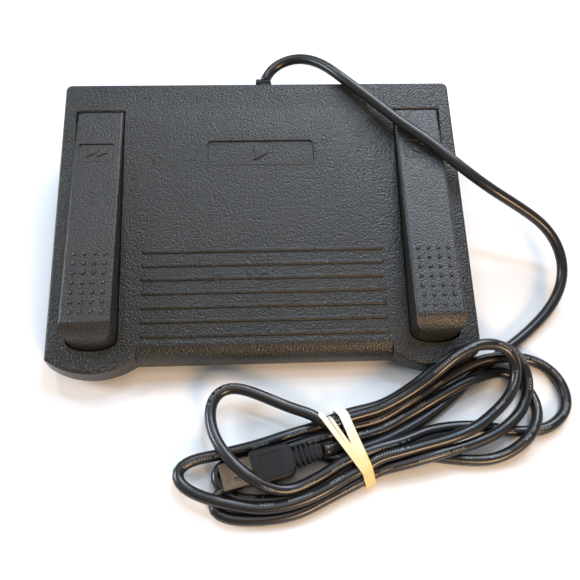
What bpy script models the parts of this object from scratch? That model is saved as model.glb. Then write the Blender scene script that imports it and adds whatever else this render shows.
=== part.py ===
"""Three-pedal transcription foot control with a bundled USB lead.

Axes: +X to the user's right, -Y toward the user (the toe end of the pedals),
+Z up, floor at z = 0.  Helper functions take millimetres; objects are metres.
"""
import math

import bmesh
import bpy
from mathutils import Vector

MM = 0.001

# ---- driving dimensions (millimetres) --------------------------------------
BACK_Y = 72.0            # rear face of the cover
FRONT_Y = -65.8          # wall between the two toe lobes
BACK_HALF = 97.0         # half width at the rear
SIDE_SPREAD = 3.0        # extra half width at the toe end
SIDE_RUN = 136.9         # length over which the sides spread
REAR_CORNER_R = 3.0
BACK_TOP = 44.0          # cover height at the rear edge
SLOPE = 0.195            # fall of the cover per mm toward the toe
SKIRT_Z = 6.5            # lower edge of the cover
COVER_WALL = 2.2
COVER_ROOF = 2.3
RIM_R = 1.2
TUB_GAP = 3.3            # cover outside to tub outside
TUB_INNER = 5.1          # cover outside to tub inside
LOBE_C = (79.0, -37.5)   # centre of the toe lobe arc
LOBE_R = 34.5
ROLL_START = -57.8       # where the toe edge starts rolling down
ROLL_DROP = 8.2
ROLL_INNER_DROP = 5.0    # shallower inside, to keep its lower end above the tub rim
ROLL_HALF = 59.2
ABOVE_ALL = 60.0         # higher than anything on the part
OVERLAP = 1.2            # how far an added feature sinks into its wall

HINGE_Y, HINGE_Z = 53.0, 29.0
ROD_R, ROD_HOLE_R, ROD_HALF = 1.5, 1.75, 94.0
EAR_X, EAR_T = 57.5, 3.0
POST_X, POST_T = 63.0, 3.2

SLOT_IN, SLOT_OUT, SLOT_BACK, SLOT_R = 67.05, 91.1, 57.8, 24.5
SLOT_FLOOR = 8.0
PEDAL_X = 79.0
PEDAL_GAP, PEDAL_END_GAP, PEDAL_HEEL_GAP = 0.5, 0.8, 0.7
PEDAL_TOP, PEDAL_SLOPE = 41.4, 0.0695
PEDAL_LOW, PEDAL_LOW_Y, PEDAL_LOW_SLOPE = 24.5, 57.0, 0.0958
PEDAL_WALL, PEDAL_ROOF, PEDAL_RIM_R = 2.0, 2.1, 1.5
NOSE_START, NOSE_END, NOSE_DROP = -52.5, -61.6, 15.5
STUD_ROWS, STUD_COLS, STUD_PITCH, STUD_FIRST_Y = 7, 4, 4.707, -21.5
STUD_PROFILE = ((0.95, -0.6), (0.9, 0.05), (0.35, 0.8))   # radius, height over the pedal

RIB_COUNT, RIB_PITCH, RIB_FIRST_Y, RIB_HALF = 7, 6.63, -15.9, 57.3
RIB_HALF_WIDTH, RIB_HEIGHT, RIB_EDGE = 1.05, 0.75, 0.55

PANEL_HALF, PANEL_Y0, PANEL_Y1, PANEL_R = 26.4, 27.8, 40.8, 2.2
PANEL_DEPTH, SYMBOL_DEPTH = 0.5, 0.02
PLAY_SYMBOL = [(-4.6, 29.8), (6.2, 34.3), (-4.6, 38.8)]
SIDE_PANEL_X, SIDE_PANEL_HALF, SIDE_PANEL_R = 79.8, 8.8, 1.2
SIDE_PANEL_Y0, SIDE_PANEL_Y1 = 28.0, 38.0
SIDE_SYMBOL_HALF, SIDE_SYMBOL_PLACES = (2.6, 3.0), (-3.1, 2.3)

FLOOR_Z0, FLOOR_Z1 = 3.0, 5.5
TUB_TOP_AT_HINGE, TUB_TOP_SLOPE = 36.8, 0.248   # leaves the cover its travel
FOOT_PLACES = {"rear": (80.0, 56.0), "toe": (78.0, -52.0)}
FOOT_STEPS = [(5.2, 0.0), (6.0, 0.6), (6.0, 2.9)]
BUMPER_PLACE = (48.0, -44.0)
BUMPER_STEPS = [(4.0, 5.6), (4.0, 14.9), (3.2, 15.6)]   # just short of the pressed cover
BALLAST = (-27, 27, -50, -5)
BALLAST_Z0, BALLAST_Z1 = 5.6, 8.6
BALLAST_SCREW = (20.0, -28.0)

BOARD_Z0, BOARD_T = 9.0, 1.6
BOARD_TOP = BOARD_Z0 + BOARD_T
BOARD_GAP = 0.1          # between the board and what is soldered to it
STANDOFFS = ((-60.0, 12.0), (60.0, 12.0), (-40.0, 29.0), (40.0, 29.0))
SWITCH_H = 10.0
PLAY_SWITCH_Y, SIDE_SWITCH_Y = 13.0, 27.0
PLUNGER_LOW, PLUNGER_TOP = 18.2, 22.5
SPRING_R, WIRE_R, SPRING_LOW = 4.3, 0.6, 6.3
PLAY_SPRING, PLAY_SPRING_TOP, PLAY_SEAT_Z = (35.0, -10.0), 23.1, 23.9
SIDE_SPRING, SIDE_SPRING_TOP, SIDE_SEAT_Z = (79.0, -8.0), 32.4, 33.2
SEAT_R, PIN_R = 6.0, 3.0

GLAND_X, GLAND_Z = 2.5, 35.2
CORD_D, INNER_D = 5.2, 4.0
HANK_Z0, HANK_TOP = 0.2, 16.0

for item in list(bpy.data.objects):
    bpy.data.objects.remove(item, do_unlink=True)


# ---- materials --------------------------------------------------------------
def material(name, colour, rough, metal=0.0):
    mat = bpy.data.materials.new(name)
    mat.use_nodes = True
    shader = mat.node_tree.nodes["Principled BSDF"]
    shader.inputs["Base Color"].default_value = (*colour, 1.0)
    shader.inputs["Roughness"].default_value = rough
    shader.inputs["Metallic"].default_value = metal
    mat.diffuse_color = (*colour, 1.0)
    return mat


BLACK_ABS = material("black_textured_abs", (0.016, 0.017, 0.016), 0.42)
BASE_ABS = material("black_base_abs", (0.02, 0.02, 0.02), 0.55)
RUBBER = material("black_rubber", (0.012, 0.012, 0.012), 0.8)
PVC = material("black_pvc_jacket", (0.012, 0.012, 0.013), 0.32)
STEEL = material("zinc_plated_steel", (0.6, 0.6, 0.58), 0.35, 1.0)
SPRING_STEEL = material("spring_steel", (0.45, 0.45, 0.46), 0.3, 1.0)
BOARD_GREEN = material("fibreglass_board", (0.02, 0.16, 0.07), 0.45)
CHIP = material("chip_epoxy", (0.015, 0.015, 0.016), 0.5)
SWITCH_RED = material("switch_plunger_red", (0.5, 0.03, 0.02), 0.4)
SWITCH_BODY = material("switch_body_black", (0.03, 0.03, 0.032), 0.5)
WHITE_NYLON = material("white_nylon", (0.8, 0.79, 0.74), 0.5)
BAND = material("cream_rubber_band", (0.72, 0.62, 0.36), 0.6)
NICKEL = material("nickel_shell", (0.7, 0.69, 0.66), 0.25, 1.0)


# ---- mesh helpers -----------------------------------------------------------
def link(obj, mat=None, cutter=False):
    bpy.context.scene.collection.objects.link(obj)
    if mat is not None:
        obj.data.materials.append(mat)
    if cutter:
        obj.hide_render = True
        obj.display_type = "WIRE"
    return obj


def from_bmesh(name, bm, mat=None, cutter=False):
    bmesh.ops.recalc_face_normals(bm, faces=bm.faces)
    mesh = bpy.data.meshes.new(name)
    bm.to_mesh(mesh)
    bm.free()
    return link(bpy.data.objects.new(name, mesh), mat, cutter)


def rings(name, loops, mat=None, cutter=False):
    """Skin closed loops of equal point count, with flat ends."""
    bm = bmesh.new()
    made = [[bm.verts.new((x * MM, y * MM, z * MM)) for x, y, z in loop] for loop in loops]
    count = len(made[0])
    for low, high in zip(made, made[1:]):
        for k in range(count):
            n = (k + 1) % count
            bm.faces.new((low[k], low[n], high[n], high[k]))
    bm.faces.new(list(reversed(made[0])))
    bm.faces.new(made[-1])
    return from_bmesh(name, bm, mat, cutter)


def prism(name, outline, z0, z1, mat=None, cutter=False):
    """Extrude a plan outline between two heights; each may be a function of y."""
    low = z0 if callable(z0) else (lambda y: z0)
    high = z1 if callable(z1) else (lambda y: z1)
    loops = [[(x, y, height(y)) for x, y in outline] for height in (low, high)]
    return rings(name, loops, mat, cutter)


def box(name, x0, x1, y0, y1, z0, z1, mat=None, cutter=False):
    return prism(name, [(x0, y0), (x1, y0), (x1, y1), (x0, y1)], z0, z1, mat, cutter)


def side_prism(name, profile, x0, x1, mat=None, cutter=False):
    """Extrude a (y, z) profile along x."""
    return rings(name, [[(x, y, z) for y, z in profile] for x in (x0, x1)], mat, cutter)


def disc(cx, cy, r, n=20):
    return [(cx + r * math.cos(2 * math.pi * k / n), cy + r * math.sin(2 * math.pi * k / n)) for k in range(n)]


def cylinder(name, cx, cy, r, z0, z1, mat=None, cutter=False, n=20):
    return prism(name, disc(cx, cy, r, n), z0, z1, mat, cutter)


def stacked(name, cx, cy, steps, mat, n=20):
    """Turned piece: steps is a list of (radius, z)."""
    return rings(name, [[(x, y, z) for x, y in disc(cx, cy, r, n)] for r, z in steps], mat)


def rod_x(name, y, z, r, x0, x1, mat=None, cutter=False, n=16):
    return side_prism(name, disc(y, z, r, n), x0, x1, mat, cutter)


def cut(obj, tool, mode="DIFFERENCE"):
    mod = obj.modifiers.new(tool.name, "BOOLEAN")
    mod.object = tool
    mod.operation = mode
    mod.solver = "EXACT"
    tool.hide_render = True
    tool.display_type = "WIRE"


def smooth(obj):
    for poly in obj.data.polygons:
        poly.use_smooth = True


def tube(name, points, diameter, mat, resolution=2):
    """Round tube along points."""
    curve = bpy.data.curves.new(name, "CURVE")
    curve.dimensions = "3D"
    curve.bevel_depth = diameter * MM / 2
    curve.bevel_resolution = resolution
    curve.use_fill_caps = True
    spline = curve.splines.new("POLY")
    spline.points.add(len(points) - 1)
    for point, at in zip(spline.points, points):
        point.co = (at[0] * MM, at[1] * MM, at[2] * MM, 1.0)
    obj = bpy.data.objects.new(name, curve)
    return link(obj, mat)


def smooth_path(route, spacing):
    """Catmull-Rom through route points, resampled at an even spacing."""
    pts = [Vector(p) for p in route]
    dense = []
    for k in range(len(pts) - 1):
        a = pts[k - 1] if k else pts[0] * 2 - pts[1]
        b, c = pts[k], pts[k + 1]
        d = pts[k + 2] if k + 2 < len(pts) else pts[-1] * 2 - pts[-2]
        for s in range(40):
            t = s / 40.0
            dense.append(0.5 * ((2 * b) + (c - a) * t + (2 * a - 5 * b + 4 * c - d) * t * t
                                + (3 * b - a - 3 * c + d) * t ** 3))
    dense.append(pts[-1])
    total = sum((q - p).length for p, q in zip(dense, dense[1:]))
    steps = max(2, round(total / spacing))
    out, want, run = [dense[0]], total / steps, 0.0
    for p, q in zip(dense, dense[1:]):
        run += (q - p).length
        if run >= want - 1e-9 and len(out) < steps:
            out.append(q)
            want += total / steps
    out.append(dense[-1])
    return [tuple(p) for p in out]


# ---- shared outlines --------------------------------------------------------
def top_z(y):
    return BACK_TOP + SLOPE * (y - BACK_Y)


def side_x(y):
    return BACK_HALF + SIDE_SPREAD * (BACK_Y - y) / SIDE_RUN


def shell_outline(offset, lobe_steps=12, corner_steps=4):
    """Plan outline of the housing, moved inward by offset, anticlockwise."""
    radius = LOBE_R - offset
    front = FRONT_Y + offset
    a0 = math.asin((LOBE_C[1] - front) / radius)
    start = math.pi + a0
    # right end of the arc: where it meets the side line
    y = -64.9
    for _ in range(6):
        x = side_x(y) - offset
        y = LOBE_C[1] - math.sqrt(max(radius ** 2 - (x - LOBE_C[0]) ** 2, 1.0))
    end = 2 * math.pi - math.asin((LOBE_C[1] - y) / radius)
    half = []
    for k in range(lobe_steps + 1):
        a = start + (end - start) * k / lobe_steps
        half.append((LOBE_C[0] + radius * math.cos(a), LOBE_C[1] + radius * math.sin(a)))
    r = max(REAR_CORNER_R - offset, 0.6)
    cx, cy = BACK_HALF - offset - r, BACK_Y - offset - r
    for k in range(corner_steps + 1):
        a = 0.5 * math.pi * k / corner_steps
        half.append((cx + r * math.cos(a), cy + r * math.sin(a)))
    return half + [(-x, y) for x, y in reversed(half)]


def slot_outline(inner, outer, back, radius, sign=1, steps=10, corner=0.8):
    """Pedal slot: square at the heel, arc at the toe."""
    a0 = math.pi + math.acos((LOBE_C[0] - inner) / radius)
    a1 = 2 * math.pi - math.acos((outer - LOBE_C[0]) / radius)
    pts = [(LOBE_C[0] + radius * math.cos(a0 + (a1 - a0) * k / steps),
            LOBE_C[1] + radius * math.sin(a0 + (a1 - a0) * k / steps)) for k in range(steps + 1)]
    pts += [(outer, back - corner), (outer - corner, back), (inner + corner, back), (inner, back - corner)]
    return [(sign * x, y) for x, y in pts]


def rounded_rect(x0, x1, y0, y1, r, steps=4):
    pts = []
    centres = ((x1 - r, y1 - r), (x0 + r, y1 - r), (x0 + r, y0 + r), (x1 - r, y0 + r))
    for quarter, (cx, cy) in enumerate(centres):
        for k in range(steps + 1):
            a = 0.5 * math.pi * (quarter + k / steps)
            pts.append((cx + r * math.cos(a), cy + r * math.sin(a)))
    return pts


def domed_prism(name, outline_at, z0, top, edge, steps, mat=None, cutter=False):
    """Prism whose upper edge is rounded; outline_at(inset) gives each ring."""
    low = z0 if callable(z0) else (lambda y: z0)
    loops = [[(x, y, low(y)) for x, y in outline_at(0.0)]]
    for k in range(steps + 1):
        a = 0.5 * math.pi * k / steps
        inset, rise = edge * (1 - math.cos(a)), edge * (math.sin(a) - 1)
        loops.append([(x, y, top(y) + rise) for x, y in outline_at(inset)])
    return rings(name, loops, mat, cutter)


def roll_profile(start, end, top, drop, beyond, steps=8):
    """Profile (y, z) of what lies in front of an edge that rolls down from start to end."""
    clear = top(start) + 12.0
    profile = [(start, clear), (start, top(start))]
    for k in range(1, steps + 1):
        a = 0.5 * math.pi * k / steps
        profile.append((start + (end - start) * math.sin(a), top(start) - drop * (1 - math.cos(a))))
    return profile + [(end - beyond, profile[-1][1]), (end - beyond, clear)]


def hollow(obj, name, outline, roof, shy_roll, x0, x1):
    """Hollow a moulding from below; shy_roll keeps the wall whole behind its rolled edge."""
    inside = prism("cut_%s_inside" % name, outline, 0.0, roof, cutter=True)
    cut(inside, side_prism("keep_%s_roll" % name, shy_roll, x0, x1, cutter=True))
    cut(obj, inside)


# ---- PLAY cover: the whole upper moulding is the centre treadle -------------
def cover_roof(y):
    return top_z(y) - COVER_ROOF


def into_cover(y):
    return top_z(y) - OVERLAP


cover = domed_prism("play_cover", shell_outline, SKIRT_Z, top_z, RIM_R, 3, BLACK_ABS)
hollow(cover, "cover", shell_outline(COVER_WALL), cover_roof,
       roll_profile(ROLL_START + 1.2, FRONT_Y + COVER_WALL, cover_roof, ROLL_INNER_DROP, 8.0),
       -ROLL_HALF - 2.0, ROLL_HALF + 2.0)
cut(cover, side_prism("cut_toe_roll", roll_profile(ROLL_START, FRONT_Y, top_z, ROLL_DROP, 8.0),
                      -ROLL_HALF, ROLL_HALF, cutter=True))

for sign, side in ((-1, "left"), (1, "right")):
    slot = slot_outline(SLOT_IN, SLOT_OUT, SLOT_BACK, SLOT_R, sign)
    cut(cover, prism("cut_slot_" + side, slot, SLOT_FLOOR, ABOVE_ALL, cutter=True))
    ear_profile = [(HINGE_Y - 4.5, 25.0), (HINGE_Y + 4.5, 25.0)]
    ear_profile += [(y, into_cover(y)) for y in (HINGE_Y + 6.5, HINGE_Y - 6.5)]
    ear_x = sign * EAR_X
    ear = side_prism("add_ear_" + side, ear_profile, ear_x - EAR_T / 2, ear_x + EAR_T / 2, cutter=True)
    cut(cover, ear, "UNION")
    seat_plan = disc(sign * PLAY_SPRING[0], PLAY_SPRING[1], SEAT_R, 16)
    cut(cover, prism("add_spring_seat_" + side, seat_plan, PLAY_SEAT_Z, into_cover, cutter=True), "UNION")
cut(cover, box("add_play_actuator", -3, 3, PLAY_SWITCH_Y - 1, PLAY_SWITCH_Y + 1, PLUNGER_TOP + BOARD_GAP,
               into_cover, cutter=True), "UNION")
cut(cover, rod_x("cut_cover_rod", HINGE_Y, HINGE_Z, ROD_HOLE_R, -62, 62, cutter=True))
cut(cover, box("cut_lead_notch", GLAND_X - 5.7, GLAND_X + 5.7, 66.0, 76.0, 0.0, 40.8, cutter=True))


def rib_outline(y):
    """Outline of the grip rib centred on y, as a function of its inset."""
    def at_inset(i):
        half_x, half_y = RIB_HALF - i, RIB_HALF_WIDTH - i
        return rounded_rect(-half_x, half_x, y - half_y, y + half_y, 0.85 - 0.5 * i, 3)
    return at_inset


for k in range(RIB_COUNT):
    rib = domed_prism("add_rib_%d" % k, rib_outline(RIB_FIRST_Y - RIB_PITCH * k), lambda v: top_z(v) - 1.0,
                      lambda v: top_z(v) + RIB_HEIGHT, RIB_EDGE, 2, cutter=True)
    cut(cover, rib, "UNION")

# recessed name panel with a plain start symbol
cut(cover, prism("cut_play_panel", rounded_rect(-PANEL_HALF, PANEL_HALF, PANEL_Y0, PANEL_Y1, PANEL_R),
                 lambda y: top_z(y) - PANEL_DEPTH, ABOVE_ALL, cutter=True))
cut(cover, prism("add_play_symbol", PLAY_SYMBOL, into_cover, lambda y: top_z(y) - SYMBOL_DEPTH, cutter=True),
    "UNION")


# ---- side pedals ------------------------------------------------------------
def pedal_z(y):
    return PEDAL_TOP - PEDAL_SLOPE * (SLOT_BACK - y)


def pedal_low(y):
    return PEDAL_LOW - PEDAL_LOW_SLOPE * (PEDAL_LOW_Y - y)


def pedal_roof(y):
    return pedal_z(y) - PEDAL_ROOF


def into_pedal(y):
    return pedal_z(y) - 1.0


def pedal_outline(sign):
    """Outline of a side pedal, as a function of its inset."""
    def at_inset(i):
        return slot_outline(SLOT_IN + PEDAL_GAP + i, SLOT_OUT - PEDAL_GAP - i, SLOT_BACK - PEDAL_HEEL_GAP - i,
                            SLOT_R - PEDAL_END_GAP - i, sign)
    return at_inset


def stud_grid(side, middle):
    """All of a pedal's grip studs in one cutter."""
    bm = bmesh.new()
    for row in range(STUD_ROWS):
        for col in range(STUD_COLS):
            cx = middle + (col - 0.5 * (STUD_COLS - 1)) * STUD_PITCH
            cy = STUD_FIRST_Y - row * STUD_PITCH
            levels = [[bm.verts.new((x * MM, y * MM, (pedal_z(y) + h) * MM)) for x, y in disc(cx, cy, r, 8)]
                      for r, h in STUD_PROFILE]
            for low, high in zip(levels, levels[1:]):
                for k in range(8):
                    n = (k + 1) % 8
                    bm.faces.new((low[k], low[n], high[n], high[k]))
            bm.faces.new(list(reversed(levels[0])))
            bm.faces.new(levels[-1])
    return from_bmesh("add_studs_" + side, bm, cutter=True)


def make_pedal(side, sign):
    """Hollow side pedal; its symbol points away from it on the left and toward it on the right."""
    middle = sign * PEDAL_X
    outline = pedal_outline(sign)
    obj = domed_prism(side + "_pedal", outline, pedal_low, pedal_z, PEDAL_RIM_R, 3, BLACK_ABS)
    hollow(obj, side + "_pedal", outline(PEDAL_WALL), pedal_roof,
           roll_profile(NOSE_START + 1.0, NOSE_END + PEDAL_WALL, pedal_roof, NOSE_DROP, 14.0),
           middle - 20, middle + 20)
    cut(obj, side_prism("cut_nose_" + side, roll_profile(NOSE_START, NOSE_END, pedal_z, NOSE_DROP, 14.0),
                        middle - 20, middle + 20, cutter=True))
    cut(obj, rod_x("cut_pedal_rod_" + side, HINGE_Y, HINGE_Z, ROD_HOLE_R, middle - 14, middle + 14,
                   cutter=True))
    cut(obj, box("add_side_actuator_" + side, middle - 3, middle + 3, SIDE_SWITCH_Y - 1, SIDE_SWITCH_Y + 1,
                 PLUNGER_TOP + BOARD_GAP, into_pedal, cutter=True), "UNION")
    seat_plan = disc(sign * SIDE_SPRING[0], SIDE_SPRING[1], SEAT_R, 16)
    cut(obj, prism("add_side_seat_" + side, seat_plan, SIDE_SEAT_Z, into_pedal, cutter=True), "UNION")

    panel_x = sign * SIDE_PANEL_X
    panel_plan = rounded_rect(panel_x - SIDE_PANEL_HALF, panel_x + SIDE_PANEL_HALF,
                              SIDE_PANEL_Y0, SIDE_PANEL_Y1, SIDE_PANEL_R)
    cut(obj, prism("cut_side_panel_" + side, panel_plan, lambda y: pedal_z(y) - PANEL_DEPTH, ABOVE_ALL,
                   cutter=True))
    half_x, half_y = SIDE_SYMBOL_HALF
    panel_y = 0.5 * (SIDE_PANEL_Y0 + SIDE_PANEL_Y1)
    for k, place in enumerate(SIDE_SYMBOL_PLACES):
        arrow = [(place - half_x, -half_y), (place + half_x, 0.0), (place - half_x, half_y)]
        if sign > 0:
            arrow = [(-x, y) for x, y in reversed(arrow)]
        arrow = [(panel_x + x, panel_y + y) for x, y in arrow]
        cut(obj, prism("add_symbol_%s_%d" % (side, k), arrow, lambda y: pedal_z(y) - OVERLAP,
                       lambda y: pedal_z(y) - SYMBOL_DEPTH, cutter=True), "UNION")
    cut(obj, stud_grid(side, middle), "UNION")


make_pedal("left", -1)
make_pedal("right", 1)


# ---- base tub ---------------------------------------------------------------
def tub_top(y):
    return TUB_TOP_AT_HINGE - TUB_TOP_SLOPE * (HINGE_Y - y)


tub = prism("base_tub", shell_outline(TUB_GAP), FLOOR_Z0, tub_top, BASE_ABS)
cut(tub, prism("cut_tub_inside", shell_outline(TUB_INNER), FLOOR_Z1, ABOVE_ALL, cutter=True))
for k, (x, y) in enumerate(STANDOFFS):
    cut(tub, cylinder("add_standoff_%d" % k, x, y, 3.2, 4.5, BOARD_Z0 - 0.1, cutter=True, n=14), "UNION")
    cut(tub, cylinder("cut_standoff_%d" % k, x, y, 1.45, 4.3, 12.0, cutter=True, n=12))
post_profile = [(46.5, 4.5), (59.5, 4.5), (57.0, 31.0), (55.0, 33.2), (51.0, 33.2), (49.0, 31.0)]
for sign, side in ((-1, "left"), (1, "right")):
    post = side_prism("add_post_" + side, post_profile, sign * POST_X - POST_T / 2, sign * POST_X + POST_T / 2,
                      cutter=True)
    cut(tub, post, "UNION")
    for x, y in (PLAY_SPRING, SIDE_SPRING):
        pin = cylinder("add_pin_%s_%d" % (side, x), sign * x, y, PIN_R, 4.5, 8.0, cutter=True, n=12)
        cut(tub, pin, "UNION")
cut(tub, rod_x("cut_tub_rod", HINGE_Y, HINGE_Z, ROD_HOLE_R, -100, 100, cutter=True))
cut(tub, box("cut_gland_hole", GLAND_X - 4.2, GLAND_X + 4.2, 60.0, 75.0, 30.8, 39.6, cutter=True))
screw_x, screw_y = BALLAST_SCREW
for sign in (-1, 1):
    cut(tub, cylinder("cut_ballast_hole_%d" % (sign + 1), sign * screw_x, screw_y, 1.5, 3.8, 8.0, cutter=True,
                      n=12))

plate = prism("ballast_plate", rounded_rect(*BALLAST, 3), BALLAST_Z0, BALLAST_Z1, STEEL)
screw_steps = [(1.1, 4.0), (1.2, BALLAST_Z1 + 0.1), (3.0, BALLAST_Z1 + 0.1), (3.0, 9.6), (2.2, 10.4)]
for sign, side in ((-1, "left"), (1, "right")):
    cut(plate, cylinder("cut_plate_" + side, sign * screw_x, screw_y, 1.8, 0.0, 12.0, cutter=True, n=12))
    stacked("ballast_screw_" + side, sign * screw_x, screw_y, screw_steps, STEEL, 14)
    for end, (x, y) in FOOT_PLACES.items():
        stacked("foot_%s_%s" % (end, side), sign * x, y, FOOT_STEPS, RUBBER)
    stacked("play_bumper_" + side, sign * BUMPER_PLACE[0], BUMPER_PLACE[1], BUMPER_STEPS, RUBBER, 16)

rod = rod_x("hinge_rod", HINGE_Y, HINGE_Z, ROD_R, -ROD_HALF, ROD_HALF, STEEL)
smooth(rod)

# ---- electronics ------------------------------------------------------------
solder_z = BOARD_TOP + BOARD_GAP
board = prism("circuit_board", rounded_rect(-88, 88, 6, 34, 1.5), BOARD_Z0, BOARD_TOP, BOARD_GREEN)
screw_steps = [(1.1, 4.6), (1.2, solder_z), (2.6, solder_z), (2.6, BOARD_TOP + 0.8), (1.8, BOARD_TOP + 1.5)]
for k, (x, y) in enumerate(STANDOFFS):
    cut(board, cylinder("cut_board_%d" % k, x, y, 1.6, 0.0, 20.0, cutter=True, n=12))
    stacked("board_screw_%d" % (k + 1), x, y, screw_steps, STEEL, 14)


def make_switch(side, x, y):
    """Switch body with the plunger that slides in it."""
    plan = rounded_rect(x - 6.4, x + 6.4, y - 3.0, y + 3.0, 0.4, 1)
    body = prism(side + "_switch", plan, solder_z, solder_z + SWITCH_H, SWITCH_BODY)
    cut(body, box("cut_switch_" + side, x - 1.8, x + 1.8, y - 1.3, y + 1.3, 15.6, 40.0, cutter=True))
    box(side + "_plunger", x - 1.5, x + 1.5, y - 1.0, y + 1.0, PLUNGER_LOW, PLUNGER_TOP, SWITCH_RED)


make_switch("play", 0.0, PLAY_SWITCH_Y)
make_switch("left", -PEDAL_X, SIDE_SWITCH_Y)
make_switch("right", PEDAL_X, SIDE_SWITCH_Y)
box("controller_chip", -30, -22, 14, 22, solder_z, BOARD_TOP + 1.6, CHIP)
prism("crystal_can", rounded_rect(-47, -36, 15.5, 20, 2.2), solder_z, BOARD_TOP + 3.6, NICKEL)
stacked("filter_capacitor", 24, 18, [(2.5, solder_z), (2.5, BOARD_TOP + 6.4), (2.1, BOARD_TOP + 7.0)], CHIP, 16)
box("cable_header", 6, 18, 25, 31, solder_z, BOARD_TOP + 6.6, WHITE_NYLON)


def spring(name, x, y, z0, z1, turns):
    """Upright coil spring."""
    pts = []
    n = turns * 10
    for k in range(n + 1):
        a = 2 * math.pi * k / 10
        pts.append((x + SPRING_R * math.cos(a), y + SPRING_R * math.sin(a), z0 + (z1 - z0) * k / n))
    tube(name, pts, 2 * WIRE_R, SPRING_STEEL, 1)


for sign, side in ((-1, "left"), (1, "right")):
    spring("play_spring_" + side, sign * PLAY_SPRING[0], PLAY_SPRING[1], SPRING_LOW, PLAY_SPRING_TOP, 6)
    spring(side + "_pedal_spring", sign * SIDE_SPRING[0], SIDE_SPRING[1], SPRING_LOW, SIDE_SPRING_TOP, 8)


# ---- cable gland and inner lead ---------------------------------------------
def gland_ring(half_w, half_h, y):
    return [(GLAND_X + x, y, GLAND_Z + z) for x, z in rounded_rect(-half_w, half_w, -half_h, half_h, 1.6, 3)]


# (half width, half height, y) of each step, from the flange inside to the neck outside
GLAND_STEPS = [(4.9, 4.4, 64.6), (4.9, 4.4, 66.6), (3.9, 4.1, 66.6), (3.9, 4.1, 69.2), (4.4, 4.5, 69.2),
               (4.4, 4.5, 73.4), (3.6, 3.7, 73.4), (3.6, 3.7, 74.6), (4.2, 4.3, 74.6), (4.2, 4.3, 76.4),
               (3.5, 3.6, 76.4), (3.5, 3.6, 77.6), (4.0, 4.1, 77.6), (4.0, 4.1, 79.0)]
rings("cable_gland", [gland_ring(*step) for step in GLAND_STEPS], RUBBER)
INNER_ROUTE = [(2.5, 63.2, GLAND_Z - 0.3), (2.5, 61.4, GLAND_Z - 1.0), (2.8, 58.6, 29.0), (4.0, 53.0, 22.4),
               (7.5, 42.0, 21.6), (11.0, 32.4, 24.0), (12.0, 28.6, 22.6), (12.0, 28.0, 18.0)]
tube("inner_lead", smooth_path(INNER_ROUTE, 5.0), INNER_D, PVC, 1)

# ---- lead, hank, band and plug ----------------------------------------------
ENTRY = Vector((122.0, -57.0, 2.9))
ENTRY_N = Vector((0.795, 0.607, 0.0)).normalized()
end = ENTRY + ENTRY_N * 0.5
LEAD = [(2.8, 80.0, 36.0), (4.0, 84.4, 36.8), (9.6, 89.5, 39.0), (20.4, 90.6, 42.6), (32.0, 83.6, 46.0),
        (43.6, 70.8, 47.6), (57.0, 58.6, 46.4), (70.0, 46.2, 44.2), (84.0, 34.0, 43.2), (97.0, 21.0, 41.0),
        (112.0, 10.6, 36.0), (127.0, 4.2, 29.4), (141.0, -2.6, 22.0), (148.6, -12.0, 15.8), (150.4, -23.0, 10.4),
        (146.4, -34.0, 6.6), (139.0, -43.0, 4.0), (131.5, -49.6, 3.0), tuple(end)]
tube("cable_lead", smooth_path(LEAD, 5.6), CORD_D, PVC, 2)

WAIST = Vector((36.0, -107.0))
ALONG = Vector((0.912, 0.41)).normalized()
ACROSS = Vector((-ALONG.y, ALONG.x))


def local(along, across):
    p = WAIST + ALONG * along + ACROSS * across
    return (p.x, p.y)


def rounded_through(points, spacing=4.0):
    """Plan curve through points, so a loop's end is round."""
    return [(x, y) for x, y, _ in smooth_path([(x, y, 0.0) for x, y in points], spacing)]


WAIST_HALF, BAND_SHY = 17.5, 3.6        # half width of the hank beside the band, and how far from its middle
LEAD_HALF = Vector((ENTRY_N.y, -ENTRY_N.x, 0.0)) * 3.4   # across the lead where it joins the hank
left_outline = [local(-BAND_SHY, WAIST_HALF)] + rounded_through(
    [(12, -86), (-6, -78), (-17, -75), (-26, -79), (-30, -89), (-29, -100), (-37, -107), (-42, -112),
     (-42.5, -119), (-37, -126), (-28, -131), (-22, -137), (-12, -138), (5, -137.8), (20, -134), (30, -130)])
left_outline.append(local(-BAND_SHY, -WAIST_HALF))
right_outline = [local(BAND_SHY, -WAIST_HALF)] + rounded_through(
    [(58, -118), (75, -116), (90, -117.5), (99, -117), (110, -114), (121, -107), (130, -103), (138, -97),
     (143, -83), (137, -69)])
right_outline += [tuple((ENTRY + LEAD_HALF).xy), tuple((ENTRY - LEAD_HALF).xy)]
right_outline += [(106, -60.5), (101.4, -64.8), (97, -68.4), (90, -71.8), (80, -73.6), (60, -82)]
right_outline.append(local(BAND_SHY, WAIST_HALF))
hank = prism("cable_hank", list(reversed(left_outline)), HANK_Z0, HANK_TOP, PVC)
cut(hank, prism("add_hank_right", right_outline, HANK_Z0, HANK_TOP, cutter=True), "UNION")
core = [local(s, w) for s, w in ((-6, -15.8), (6, -15.8), (6, 15.8), (-6, 15.8))]
cut(hank, prism("add_hank_core", core, 2.0, 14.2, cutter=True), "UNION")

TIP = Vector((-20.5, -119.0))
PLUG_DIR = Vector((48.0, 12.2)).normalized()
PLUG_N = Vector((-PLUG_DIR.y, PLUG_DIR.x))


def plug_loop(s, half_w, z0, z1, chamfer):
    c = TIP + PLUG_DIR * s
    pts = []
    for w, z in ((-half_w, z0 + chamfer), (-half_w + chamfer, z0), (half_w - chamfer, z0),
                 (half_w, z0 + chamfer), (half_w, z1 - chamfer), (half_w - chamfer, z1),
                 (-half_w + chamfer, z1), (-half_w, z1 - chamfer)):
        p = c + PLUG_N * w
        pts.append((p.x, p.y, z))
    return pts


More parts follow.
